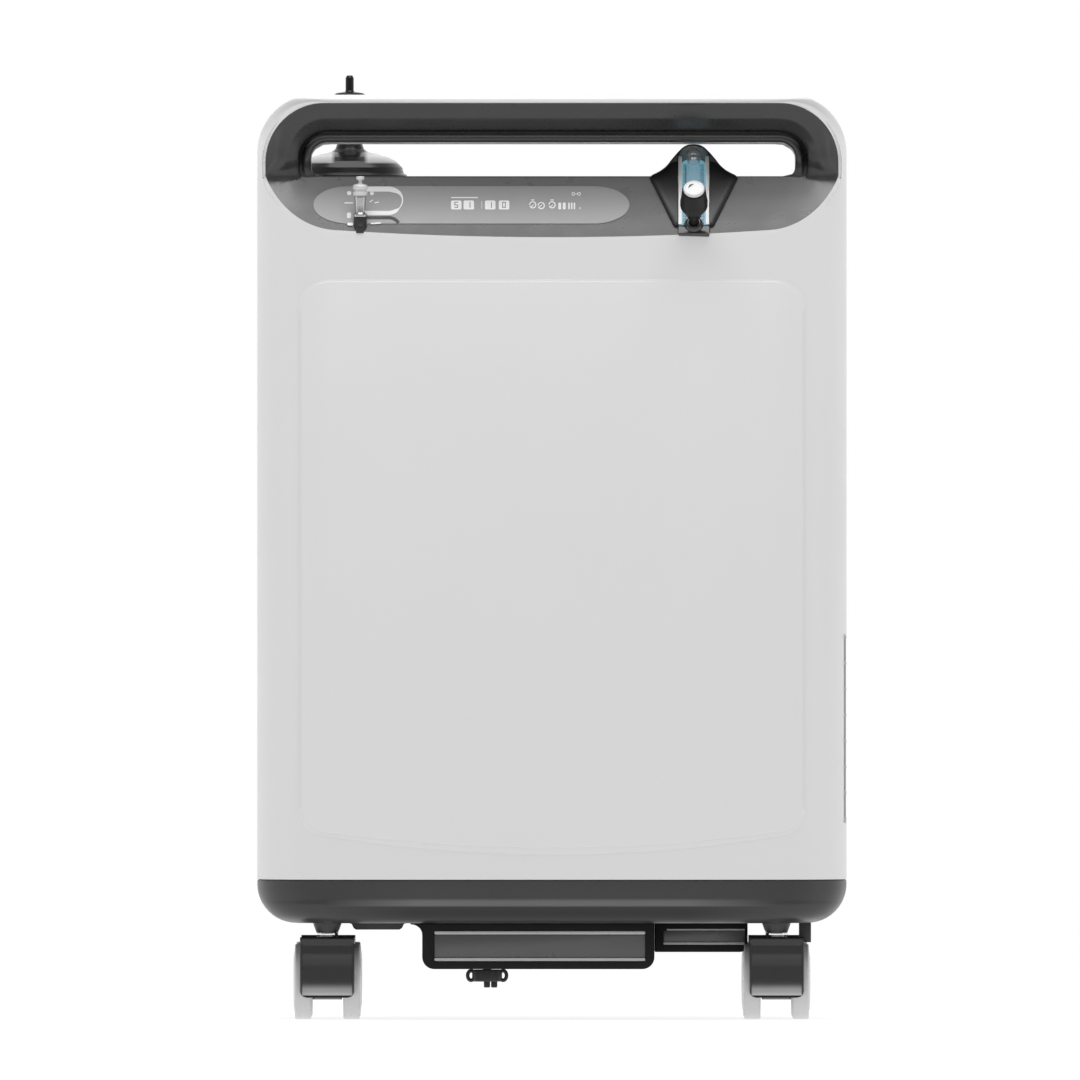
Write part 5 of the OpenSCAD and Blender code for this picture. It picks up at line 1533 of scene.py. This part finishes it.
def make_valve():
    """Dark foot of the flowmeter with a domed gland, and the metal plug at the head of the tube."""
    half = METER_HALF
    foot = Shape()
    ring_prism(foot, round_rect(-half + 0.1, 1.5, half - 0.1, METER_FOOT - 0.05, 1.0), METER_FACE - 14,
               METER_FACE, "z", 0.5, place=METER)
    gland = [(3.5, METER_FACE - 3.4), (3.5, METER_FACE + 2.8), (4.2, METER_FACE + 2.9), (5.4, METER_FACE + 2.2),
             (6.4, METER_FACE + 0.4), (6.5, METER_FACE - 0.3), (5.9, METER_FACE - 0.6), (5.9, METER_FACE - 3.4),
             (3.5, METER_FACE - 3.4)]
    foot.lathe(rounded_path(gland, 0.2, 2), 48, METER @ Matrix.Translation((0, METER_FOOT + 0.1, 0)))
    obj = foot.build("flowmeter_valve_skin", METER_DARK, weld=0.002, crease_deg=30)
    put(obj, "casing", "black_plastic", "flowmeter_valve")
    plug = [(0, METER_END - 9), (3.0, METER_END - 9), (4.2, METER_END - 8.2), (4.25, METER_END - 6.4),
            (3.6, METER_END - 6.1), (3.6, METER_END - 5.2), (4.25, METER_END - 4.9), (4.25, METER_END - 2.4),
            (3.9, METER_END - 1.6), (1.8, METER_END - 1.05), (1.8, METER_END - 1.6), (0, METER_END - 1.6)]
    put(Shape().lathe(rounded_path(plug, 0.2, 2), 48, ALONG).build("flowmeter_plug", CHROME, weld=0.002),
        "casing", "chrome")


def cradle_pocket():
    """Cutter for the bed of the flowmeter in its cradle."""
    low = (-METER_HALF - 0.2, 0.2, METER_FACE - 15)
    high = (METER_HALF + 0.2, METER_END + 1, 20)
    return Shape().block(low, high, place=METER).build("pocket", CRADLE)


def make_cradle():
    """Dark bell-shaped saddle that the flowmeter lies in, with concave flanks above the slope."""
    low, high = box_mm("flowmeter_cradle")
    foot_z, top_z = low[2] - 0.4, high[2] - 0.1
    # Half width against height: a soft wedge up to the hand opening, then a flank that sweeps in
    flank = [(0.0, foot_z - 0.6), (13.2, foot_z, 2.0), (29.6, GRIP_LOW - 1.0, 1.0), (27.6, GRIP_LOW + 1.0),
             (24.4, 561.6), (21.3, 563.4), (18.5, 565.7), (16.6, 567.8), (15.0, 570.0), (13.0, 572.4),
             (10.1, 575.7), (6.9, 578.8), (3.8, top_z - 0.2), (0.0, top_z)]
    half = rounded_path(flank, 6.0, 3)
    outline = np.concatenate([half, mirrored(half)[1:]])
    outline = resample(np.concatenate([outline, outline[:1]]), 121)[:-1]
    lift_mm, depth = 0.1, 3.4
    centre = np.array([0.0, 553.0])

    def level(inset, out):
        p = centre + (outline - centre) * (1 - inset)
        y = slope_y(p[:, 1]) - out / math.sin(math.radians(SLOPE_DEG))
        return np.column_stack([p[:, 0] + METER_X, y, p[:, 1]])

    shape = Shape()
    rows = [level(0.0, lift_mm), level(0.004, 0.9), level(0.03, 1.9), level(0.09, 2.7), level(0.2, depth - 0.3),
            level(0.42, depth - 0.1)]
    shape.grid(rows, close_u=True)
    shape.cap(rows[-1])
    shape.cap(rows[0][::-1])
    skin = shape.build("flowmeter_cradle_skin", CRADLE, weld=0.002, crease_deg=35)
    cut(skin, cradle_pocket())
    put(skin, "casing", "bezel_grey", "flowmeter_cradle")
    # Ridge that carries the head of the flowmeter across the hand opening
    back = Shape()
    mid = np.array([0, 566])
    upper = outline[outline[:, 1] > GRIP_LOW - 0.5]
    upper = upper[np.argsort(np.arctan2(upper[:, 1] - mid[1], upper[:, 0]))]
    y0, y1 = FRONT_Y + 38.5, FRONT_Y + 65.5
    rows = []
    for inset, y in ((0.05, y0), (0.01, y0 + 0.6), (0.0, y0 + 2), (0.0, y1 - 2), (0.01, y1 - 0.6), (0.05, y1)):
        p = mid + (upper - mid) * (1 - inset)
        rows.append(np.column_stack([p[:, 0] + METER_X, np.full(len(p), y), p[:, 1]]))
    back.grid(rows, close_u=True)
    back.cap(rows[0])
    back.cap(rows[-1][::-1])
    ridge = back.build("flowmeter_cradle_ridge", CRADLE, weld=0.002, crease_deg=35)
    cut(ridge, cradle_pocket())
    put(ridge, "casing", "bezel_grey")


def make_knob():
    """Flared control knob with shallow grips, and its white cap with a black crescent."""
    place = METER @ Matrix.Translation((0, 9.1, METER_FACE))
    profile = [(0, -3.4), (3.2, -3.4), (3.25, 8.8), (5.1, 10.2), (5.5, 12.4), (9.0, 19.4), (9.2, 20.4),
               (9.2, 23.6), (8.9, 25.4), (7.9, 34.6), (7.3, 35.55), (0, 35.6)]
    path = rounded_path(profile, 0.5, 4)
    t = np.linspace(0, 2 * math.pi, 96, endpoint=False)
    rows = []
    for r, h in path:
        grip = 0.16 * smooth01((h - 18) / 3) * smooth01((33 - h) / 3)
        rr = r - grip * (0.5 + 0.5 * np.cos(t * 24))
        rows.append(np.stack([rr * np.cos(t), rr * np.sin(t), np.full_like(t, h)], 1))
    knob = Shape().grid(rows, close_u=True, place=place)
    put(knob.build("flow_knob_skin", KNOB, weld=0.002, crease_deg=30), "knob", "black_plastic", "flow_knob")
    cap_profile = [(0, 35.7), (7.0, 35.7), (7.05, 36.55), (6.7, 37.3), (5.9, 37.58), (5.3, 37.32), (0, 37.28)]
    cap = Shape().lathe(rounded_path(cap_profile, 0.25, 4), 72, place)
    put(cap.build("flow_knob_cap_skin", CAP_WHITE, weld=0.002), "knob", "cap_white", "flow_knob_cap")
    widths = np.interp(np.linspace(0, 1, 13), (0, 0.5, 1), (0.3, 1.6, 0.3))
    crescent = stroke(arc((0.4, -0.4), 3.9, 95, 175, 12), widths)
    mark = Shape().prism(crescent, 37.28, 37.4, place=place)
    put(mark.build("flow_knob_pointer", PRINT_BLACK, weld=0.0005), "knob", "black_plastic")


make_meter()
make_valve()
make_cradle()
make_knob()


# ---------------------------------------------------------------- humidifier

def make_humidifier():
    """Clear bottle with water and level marks, its dip tube and its ribbed screw lid with a tall stem."""
    place = Matrix.Translation((BOTTLE_X, BOTTLE_Y, 0))
    r = (BOTTLE_HIGH[0] - BOTTLE_LOW[0]) / 2
    z0, z1 = BOTTLE_LOW[2], BOTTLE_HIGH[2]
    wall = [(0, z0 + 1.2), (r - 14, z0 + 1.2), (r - 6, z0), (r - 3, z0 + 0.6), (r - 0.3, z0 + 4), (r, z0 + 9),
            (r, z0 + 24), (r - 0.6, z0 + 26), (r - 0.6, z0 + 112), (r, z0 + 114), (r, z1 - 23),
            (r - 1.4, z1 - 19), (r - 3.2, z1 - 15), (r - 3.2, z1 - 0.6), (r - 3.7, z1), (r - 4.6, z1),
            (r - 4.9, z1 - 0.6), (r - 4.9, z1 - 16), (r - 2.2, z1 - 24), (r - 2.2, z0 + 6), (r - 5, z0 + 2.4),
            (0, z0 + 2.6)]
    bottle = Shape().lathe(rounded_path(wall, 0.8, 3), 96, place)
    put(bottle.build("humidifier_bottle_skin", BOTTLE, weld=0.002), "bottle", "bottle_clear",
        "humidifier_bottle")
    level = z0 + 92
    fill = [(0, z0 + 3.1), (r - 5.4, z0 + 3.1), (r - 2.9, z0 + 6.6), (r - 2.9, level - 0.6), (r - 2.5, level),
            (r - 3.4, level - 0.7), (0, level - 0.8)]
    water = Shape().lathe(fill, 72, place)
    put(water.build("humidifier_water", WATER, weld=0.002), "bottle", "bottle_clear")
    lines = Shape()
    mark_r, mark_t = r - 0.55, 0.15
    for k, z in enumerate(np.linspace(z0 + 30, z0 + 106, 9)):
        half = math.radians(16 if k % 4 == 0 else 8)
        t = np.linspace(math.pi / 2 - half, math.pi / 2 + half, 9)
        a = np.stack([mark_r * np.cos(t) + BOTTLE_X, mark_r * np.sin(t) + BOTTLE_Y, np.full_like(t, z)], 1)
        b = a + np.array([0, 0, 0.7])
        out = mark_t * np.stack([np.cos(t), np.sin(t), 0 * t], 1)
        lines.grid([a, b, b + out, a + out], close_v=True)
        for e in (0, -1):
            lines.cap([a[e], b[e], (b + out)[e], (a + out)[e]])
    put(lines.build("humidifier_level_marks", PRINT_BLACK, weld=0.0005), "bottle", "bottle_clear")
    tube = Shape()
    t_low, t_high = box_mm("humidifier_tube")
    foot, top = t_low[2], t_high[2]
    stone = [(0, foot), (6.2, foot), (7, foot + 0.8), (7, foot + 15.2), (6.2, foot + 16), (2.5, foot + 18),
             (2.5, top), (1.6, top), (1.6, foot + 17), (0, foot + 16.4)]
    tube.lathe(rounded_path(stone, 0.3, 2), 40, place)
    put(tube.build("humidifier_tube_skin", DIFFUSER, weld=0.002), "lid", "cap_white", "humidifier_tube")
    # The dome is fuller than the CAD lid's, as in the photograph
    lid_z = z1 - 8
    lid = [(2.6, lid_z + 8.6), (r - 2.8, lid_z + 8.6), (r - 2.8, lid_z - 5.8), (r + 1.2, lid_z - 6),
           (r + 1.7, lid_z - 5.6), (r + 2.1, lid_z + 17), (r + 2.5, lid_z + 18.6), (r + 3.3, lid_z + 19.6),
           (r + 3.3, lid_z + 21.4), (r + 2.4, lid_z + 22.0), (r + 1.2, lid_z + 22.4), (35.2, lid_z + 26.4),
           (31, lid_z + 30.6), (26, lid_z + 33.4), (19, lid_z + 35.4), (12.5, lid_z + 36.8),
           (9.6, lid_z + 38.8), (8.4, lid_z + 42), (8.15, lid_z + 52), (8.15, 611), (8.6, 612.4),
           (11.2, 612.9), (11.45, 613.6), (11.2, 614.4), (9, 616.2), (3.2, 617.1), (2.75, 618),
           (2.75, 626.2), (2.0, 627.7), (1.3, 628.15), (1.3, 600.2), (2.6, 600.2), (2.6, lid_z + 8.6)]
    path = rounded_path(lid, 0.8, 3)
    t = np.linspace(0, 2 * math.pi, 144, endpoint=False)
    rows = []
    for rad, h in path:
        ribs = 0
        if rad > r + 1:
            ribs = 0.45 * smooth01((h - lid_z + 5.4) / 1.0) * smooth01((lid_z + 16.5 - h) / 1.5)
        rr = rad - ribs * (0.5 + 0.5 * np.cos(t * 36))
        rows.append(np.stack([rr * np.cos(t) + BOTTLE_X, rr * np.sin(t) + BOTTLE_Y, np.full_like(t, h)], 1))
    cap = Shape().grid(rows, close_u=True)
    put(cap.build("humidifier_lid_skin", LID, weld=0.002, crease_deg=40), "lid", "gloss_black",
        "humidifier_lid")


make_humidifier()


# ---------------------------------------------------------------- side grille

def make_grille():
    """Upright vent on the right side: seven framed cells of slats."""
    low, high = box_mm("side_grille")
    face = high[0] - 0.15
    back = low[0] + 0.2
    y0, y1, z0, z1 = low[1], high[1], low[2], high[2]
    plate = Shape()
    ring_prism(plate, round_rect(y0 + 0.1, z0 + 0.1, y1 - 0.1, z1 - 0.1, 1.2), back, face, "x", 0.4)
    plate = plate.build("side_grille_skin", GRILLE, weld=0.002, crease_deg=30)
    tools = []
    inner = Shape().block((back - 2, y0 + 4, z0 + 4), (back + 3.8, y1 - 4, z1 - 4)).build("hollow", GRILLE)
    tools.append(inner)
    for i in range(7):
        z = z0 + 3 + i * 17.2
        tools.append(Shape().prism(round_rect(y0 - 3, z, y1 - 4.2, z + 15.4, 1.0), face - 2.6, face + 3, "x")
                     .build("cell", GRILLE))
        for j in range(7):
            a = y0 + 12 + j * 8.4
            tools.append(Shape().prism(round_rect(a, z + 2.4, a + 4, z + 13, 1.2), back - 3, face + 3, "x")
                         .build("vent", GRILLE))
    cut(plate, *tools)
    put(plate, "casing", "grille_grey", "side_grille")


make_grille()


# ---------------------------------------------------------------- back: door, inlet, switch and breaker

def make_filter_door():
    """Louvred door on its hinge at the foot, and the foam behind it."""
    low, high = box_mm("filter_door")
    x0, x1 = low[0] + 2.6, high[0] - 2.6
    z0, z1 = low[2] + 3.2, high[2] - 0.1
    y0, y1 = BACK_Y - 3.9, BACK_Y - 0.25
    panel = Shape()
    ring_prism(panel, round_rect(x0, z0, x1, z1, (1.0, 1.0, 6, 6)), y0, y1, "y", 0.6)
    door = panel.build("filter_door_skin", GRILLE, weld=0.002, crease_deg=30)
    tools = [Shape().prism(round_rect(x0 + 13, low[2] + 16.6 + i * 8.4, x1 - 13, low[2] + 20.6 + i * 8.4, 1.8),
                           y0 - 4, y1 + 4, "y").build("louvre", GRILLE) for i in range(10)]
    tools.append(Shape().prism(round_rect((x0 + x1) / 2 - 14, z1 - 7.5, (x0 + x1) / 2 + 14, z1 - 3.5, 1.8),
                               y1 - 1.8, y1 + 3, "y").build("pull", GRILLE))
    cut(door, *tools)
    hinge = Shape()
    mid_y, mid_z = (low[1] + low[1] + 6) / 2, low[2] + 3
    hinge.tube([(x0, mid_y, mid_z), ((x0 + x1) / 2, mid_y, mid_z), (x1, mid_y, mid_z)], 2.9, 24)
    hinge.tube([(low[0] + 0.2, mid_y, mid_z), ((x0 + x1) / 2, mid_y, mid_z), (high[0] - 0.2, mid_y, mid_z)],
               1.4, 16)
    put(hinge.build("filter_door_hinge", GRILLE, weld=0.002), "door", "grille_grey")
    put(door, "door", "grille_grey", "filter_door")
    f_low, f_high = box_mm("filter_foam")
    foam = Shape().block(f_low + 0.1, f_high - 0.1)
    put(foam.build("filter_foam_skin", FOAM, bevel=1.6), "casing", "foam", "filter_foam")


def make_power_side():
    """Mains inlet with its pins, rocker switch in its frame, and breaker button."""
    low, high = box_mm("power_inlet")
    x, z = (low[0] + high[0]) / 2, (low[2] + high[2]) / 2
    y = BACK_Y
    socket = np.array([(x - 12, z - 8), (x + 12, z - 8), (x + 12, z + 4.5), (x + 8.5, z + 8), (x - 8.5, z + 8),
                       (x - 12, z + 4.5)])
    for name, dx, dz, y0, y1, r in (("power_inlet_skin", 13.7, 10.2, y - 20, y - 0.1, 2.5),
                                    ("power_inlet_flange", 16.9, 12.9, y - 5.1, y - 3.2, 3.5)):
        body = Shape()
        ring_prism(body, round_rect(x - dx, z - dz, x + dx, z + dz, r), y0, y1, "y", 0.5)
        body = body.build(name, BLACK, weld=0.002, crease_deg=30)
        cut(body, Shape().prism(socket, y - 16, y + 6, "y").build("socket", BLACK))
        if name.endswith("skin"):
            put(body, "casing", "black_plastic", "power_inlet")
        else:
            put(body, "casing", "black_plastic")
    pins = Shape()
    for dx in (-7, 0, 7):
        pz = z + (3 if dx == 0 else -1)
        ring_prism(pins, round_rect(x + dx - 1, pz - 2, x + dx + 1, pz + 2, 0.4), y - 16.9, y - 9.6, "y", 0.4)
    put(pins.build("power_inlet_pins", STEEL, weld=0.002), "casing", "steel")
    low, high = box_mm("switch_frame")
    x = (low[0] + high[0]) / 2
    frame_box = Shape()
    ring_prism(frame_box, round_rect(x - 13.7, z - 13.7, x + 13.7, z + 13.7, 2.2), y - 20, y - 0.1, "y", 0.6)
    frame_box = frame_box.build("switch_frame_skin", BLACK, weld=0.002, crease_deg=30)
    cut(frame_box, Shape().prism(round_rect(x - 9, z - 11.5, x + 9, z + 11.5, 0.8), y - 17, y + 6, "y")
        .build("window", BLACK))
    put(frame_box, "casing", "black_plastic", "switch_frame")
    dish_y, dish_r, dish_deg = y + 27.6, 30.1, 18.6
    dish = arc((dish_y, z), dish_r, 180 - dish_deg, 180 + dish_deg, 20)
    belly = arc((y - 9, z), 10.9, -74, -286, 24)
    outline = np.concatenate([dish, belly])
    rocker = Shape()
    ring_prism(rocker, outline, x - 8.5, x + 8.5, "x", 0.5)
    put(rocker.build("power_switch_skin", GLOSS_BLACK, weld=0.002, crease_deg=35), "rocker", "black_plastic",
        "power_switch")
    marks = Shape()
    bar = round_rect(-0.35, 4.2, 0.35, 7.6, 0.2, 2)
    ring = stroke(arc((0, -5.9), 1.6, 0, 358, 26), 0.5)
    for flat in (bar, ring):
        rows = []
        for out in (0.03, 0.14):
            ys = dish_y - np.sqrt(dish_r ** 2 - flat[:, 1] ** 2) + out
            rows.append(np.column_stack([x - flat[:, 0], ys, z + flat[:, 1]]))
        marks.grid(rows, close_u=True)
        marks.cap(rows[1])
        marks.cap(rows[0][::-1])
    put(marks.build("power_switch_marks", PRINT_WHITE, weld=0.0005), "rocker", "black_plastic")
    low, high = box_mm("breaker_button")
    x = (low[0] + high[0]) / 2
    turn = Matrix.Translation((x, y - 0.2, z)) @ Matrix.Rotation(math.radians(90), 4, "X")
    button = [(0, 0.35), (2.6, 0.1), (3.5, 0.05), (3.95, 0.6), (3.95, 8.1), (5.9, 8.1), (5.9, 10.9),
              (3.95, 10.9), (3.95, 12.0), (0, 12.0)]
    shape = Shape().lathe(rounded_path(button, 0.3, 3), 48, turn)
    put(shape.build("breaker_button_skin", CAP_WHITE, weld=0.002), "breaker", "cap_white", "breaker_button")


make_filter_door()
make_power_side()


def make_case_screws():
    """Cross-head screws in the back of the casing."""
    heads = Shape()
    profile = [(0, 0.6), (2.4, 0.15), (3.2, 0.5), (3.45, 1.2), (3.45, 1.85), (1.45, 1.9), (1.45, 13.2),
               (0, 14.0)]
    for x, z in SCREW_SPOTS:
        place = Matrix.Translation((x, BACK_Y - 1, z)) @ Matrix.Rotation(math.radians(90), 4, "X")
        heads.lathe(rounded_path(profile, 0.2, 2), 40, place)
    obj = heads.build("case_screws_skin", STEEL, weld=0.002)
    tools = []
    for x, z in SCREW_SPOTS:
        for w, h in ((3.0, 0.7), (0.7, 3.0)):
            tools.append(Shape().block((x - w / 2, BACK_Y - 2.2, z - h / 2), (x + w / 2, BACK_Y + 1, z + h / 2))
                         .build("cross", STEEL))
    cut(obj, *tools)
    put(obj, "casing", "steel", "case_screws")


make_case_screws()


# ---------------------------------------------------------------- materials of the CAD nodes that stay

CAD_LOOKS = {
    "baffle_plate": TRAY, "control_board": BOARD, "compressor_heads": CAST, "compressor_motor": CAST,
    "compressor_mounts": RUBBER, "compressor_shaft": STEEL, "fan_frame": BLACK, "fan_rotor": BLACK,
    "product_tank": CAST, "sieve_beds": CAST, "valve_manifold": CAST,
}
CAD_LOOKS.update({"caster_%s_axle" % key: STEEL for key in CASTERS})
for node_name, look in CAD_LOOKS.items():
    node_obj = bpy.data.objects[node_name]
    for node_slot in node_obj.material_slots:
        node_slot.material = look


# ---------------------------------------------------------------- stage, light and camera

def make_stage():
    """Pale floor, a world whose brightness depends on direction, and four softboxes."""
    floor_r, floor_z, sides = 6.0, -0.0002, 96
    turn = np.linspace(0, 2 * math.pi, sides, False)
    ring = [(floor_r * math.cos(t), floor_r * math.sin(t), floor_z) for t in turn]
    mesh = bpy.data.meshes.new("floor")
    mesh.from_pydata(ring, [], [list(range(sides))])
    floor = bpy.data.objects.new("floor", mesh)
    bpy.context.scene.collection.objects.link(floor)
    mat, _, shader, _ = node_tree("floor_white")
    shader.inputs["Base Color"].default_value = (0.25, 0.25, 0.25, 1)
    shader.inputs["Roughness"].default_value = 0.9
    shader.inputs["Specular IOR Level"].default_value = 0.1
    shader.inputs["Emission Color"].default_value = (1, 1, 1, 1)
    shader.inputs["Emission Strength"].default_value = 0.85
    mesh.materials.append(mat)
    world = bpy.data.worlds.new("studio")
    bpy.context.scene.world = world
    world.use_nodes = True
    tree = world.node_tree
    back = tree.nodes["Background"]
    coords = tree.nodes.new("ShaderNodeTexCoord")
    split = tree.nodes.new("ShaderNodeSeparateXYZ")
    tree.links.new(coords.outputs["Generated"], split.inputs["Vector"])

    def ramp(value, stops):
        node = tree.nodes.new("ShaderNodeValToRGB")
        node.color_ramp.interpolation = "EASE"
        span = tree.nodes.new("ShaderNodeMapRange")
        span.inputs["From Min"].default_value = -1.0
        span.inputs["From Max"].default_value = 1.0
        tree.links.new(value, span.inputs["Value"])
        tree.links.new(span.outputs["Result"], node.inputs["Fac"])
        first, last = node.color_ramp.elements
        first.position, last.position = (stops[0][0] + 1) / 2, (stops[-1][0] + 1) / 2
        first.color, last.color = (*[stops[0][1]] * 3, 1), (*[stops[-1][1]] * 3, 1)
        for at, level in stops[1:-1]:
            node.color_ramp.elements.new((at + 1) / 2).color = (level, level, level, 1)
        return node.outputs["Color"]

    # Brightest backdrop, dimmer sides, the dimmest wall behind the camera, and a dimmer ceiling
    facing = ramp(split.outputs["Y"], ((-1.0, 0.3), (-0.8, 0.36), (0.0, 0.6), (0.7, 1.0)))
    height = ramp(split.outputs["Z"], ((-1.0, 1.0), (0.25, 1.0), (0.8, 0.6)))
    both = tree.nodes.new("ShaderNodeMix")
    both.data_type = "RGBA"
    both.blend_type = "MULTIPLY"
    both.inputs["Factor"].default_value = 1.0
    tree.links.new(facing, both.inputs["A"])
    tree.links.new(height, both.inputs["B"])
    tree.links.new(both.outputs["Result"], back.inputs["Color"])
    back.inputs["Strength"].default_value = 1.0

    def softbox(name, place, target, size, power):
        light = bpy.data.lights.new(name, "AREA")
        light.shape = "RECTANGLE"
        light.size, light.size_y = size
        light.energy = power
        obj = bpy.data.objects.new(name, light)
        obj.location = place
        obj.rotation_euler = (Vector(target) - Vector(place)).to_track_quat("-Z", "Y").to_euler()
        bpy.context.scene.collection.objects.link(obj)

    softbox("softbox_above", (0, -0.45, 2.3), (0, -0.1, 0.5), (2.0, 1.8), 42)
    softbox("softbox_front", (0, -2.6, 1.9), (0, -0.1, 0.4), (1.8, 1.0), 4)
    softbox("strip_left", (-2.0, -0.5, 0.6), (0, 0, 0.35), (0.5, 1.6), 1.5)
    softbox("strip_right", (2.0, -0.5, 0.6), (0, 0, 0.35), (0.5, 1.6), 1.5)


make_stage()


def make_camera():
    """Long lens from the front, level with the object's middle."""
    lens, sensor = 1600.0, 36.0
    field = 0.7153
    aim = Vector((-0.0079, 0.0, 0.318))
    distance = lens / sensor * field
    data = bpy.data.cameras.new("camera")
    data.lens, data.sensor_width = lens, sensor
    data.clip_start, data.clip_end = 1.0, 80.0
    cam = bpy.data.objects.new("camera", data)
    cam.location = aim + Vector((0, FRONT_Y * MM - distance, 0))
    cam.rotation_euler = (math.radians(90), 0, 0)
    bpy.context.scene.collection.objects.link(cam)
    bpy.context.scene.camera = cam
    bpy.context.scene.view_settings.view_transform = "Standard"


make_camera()
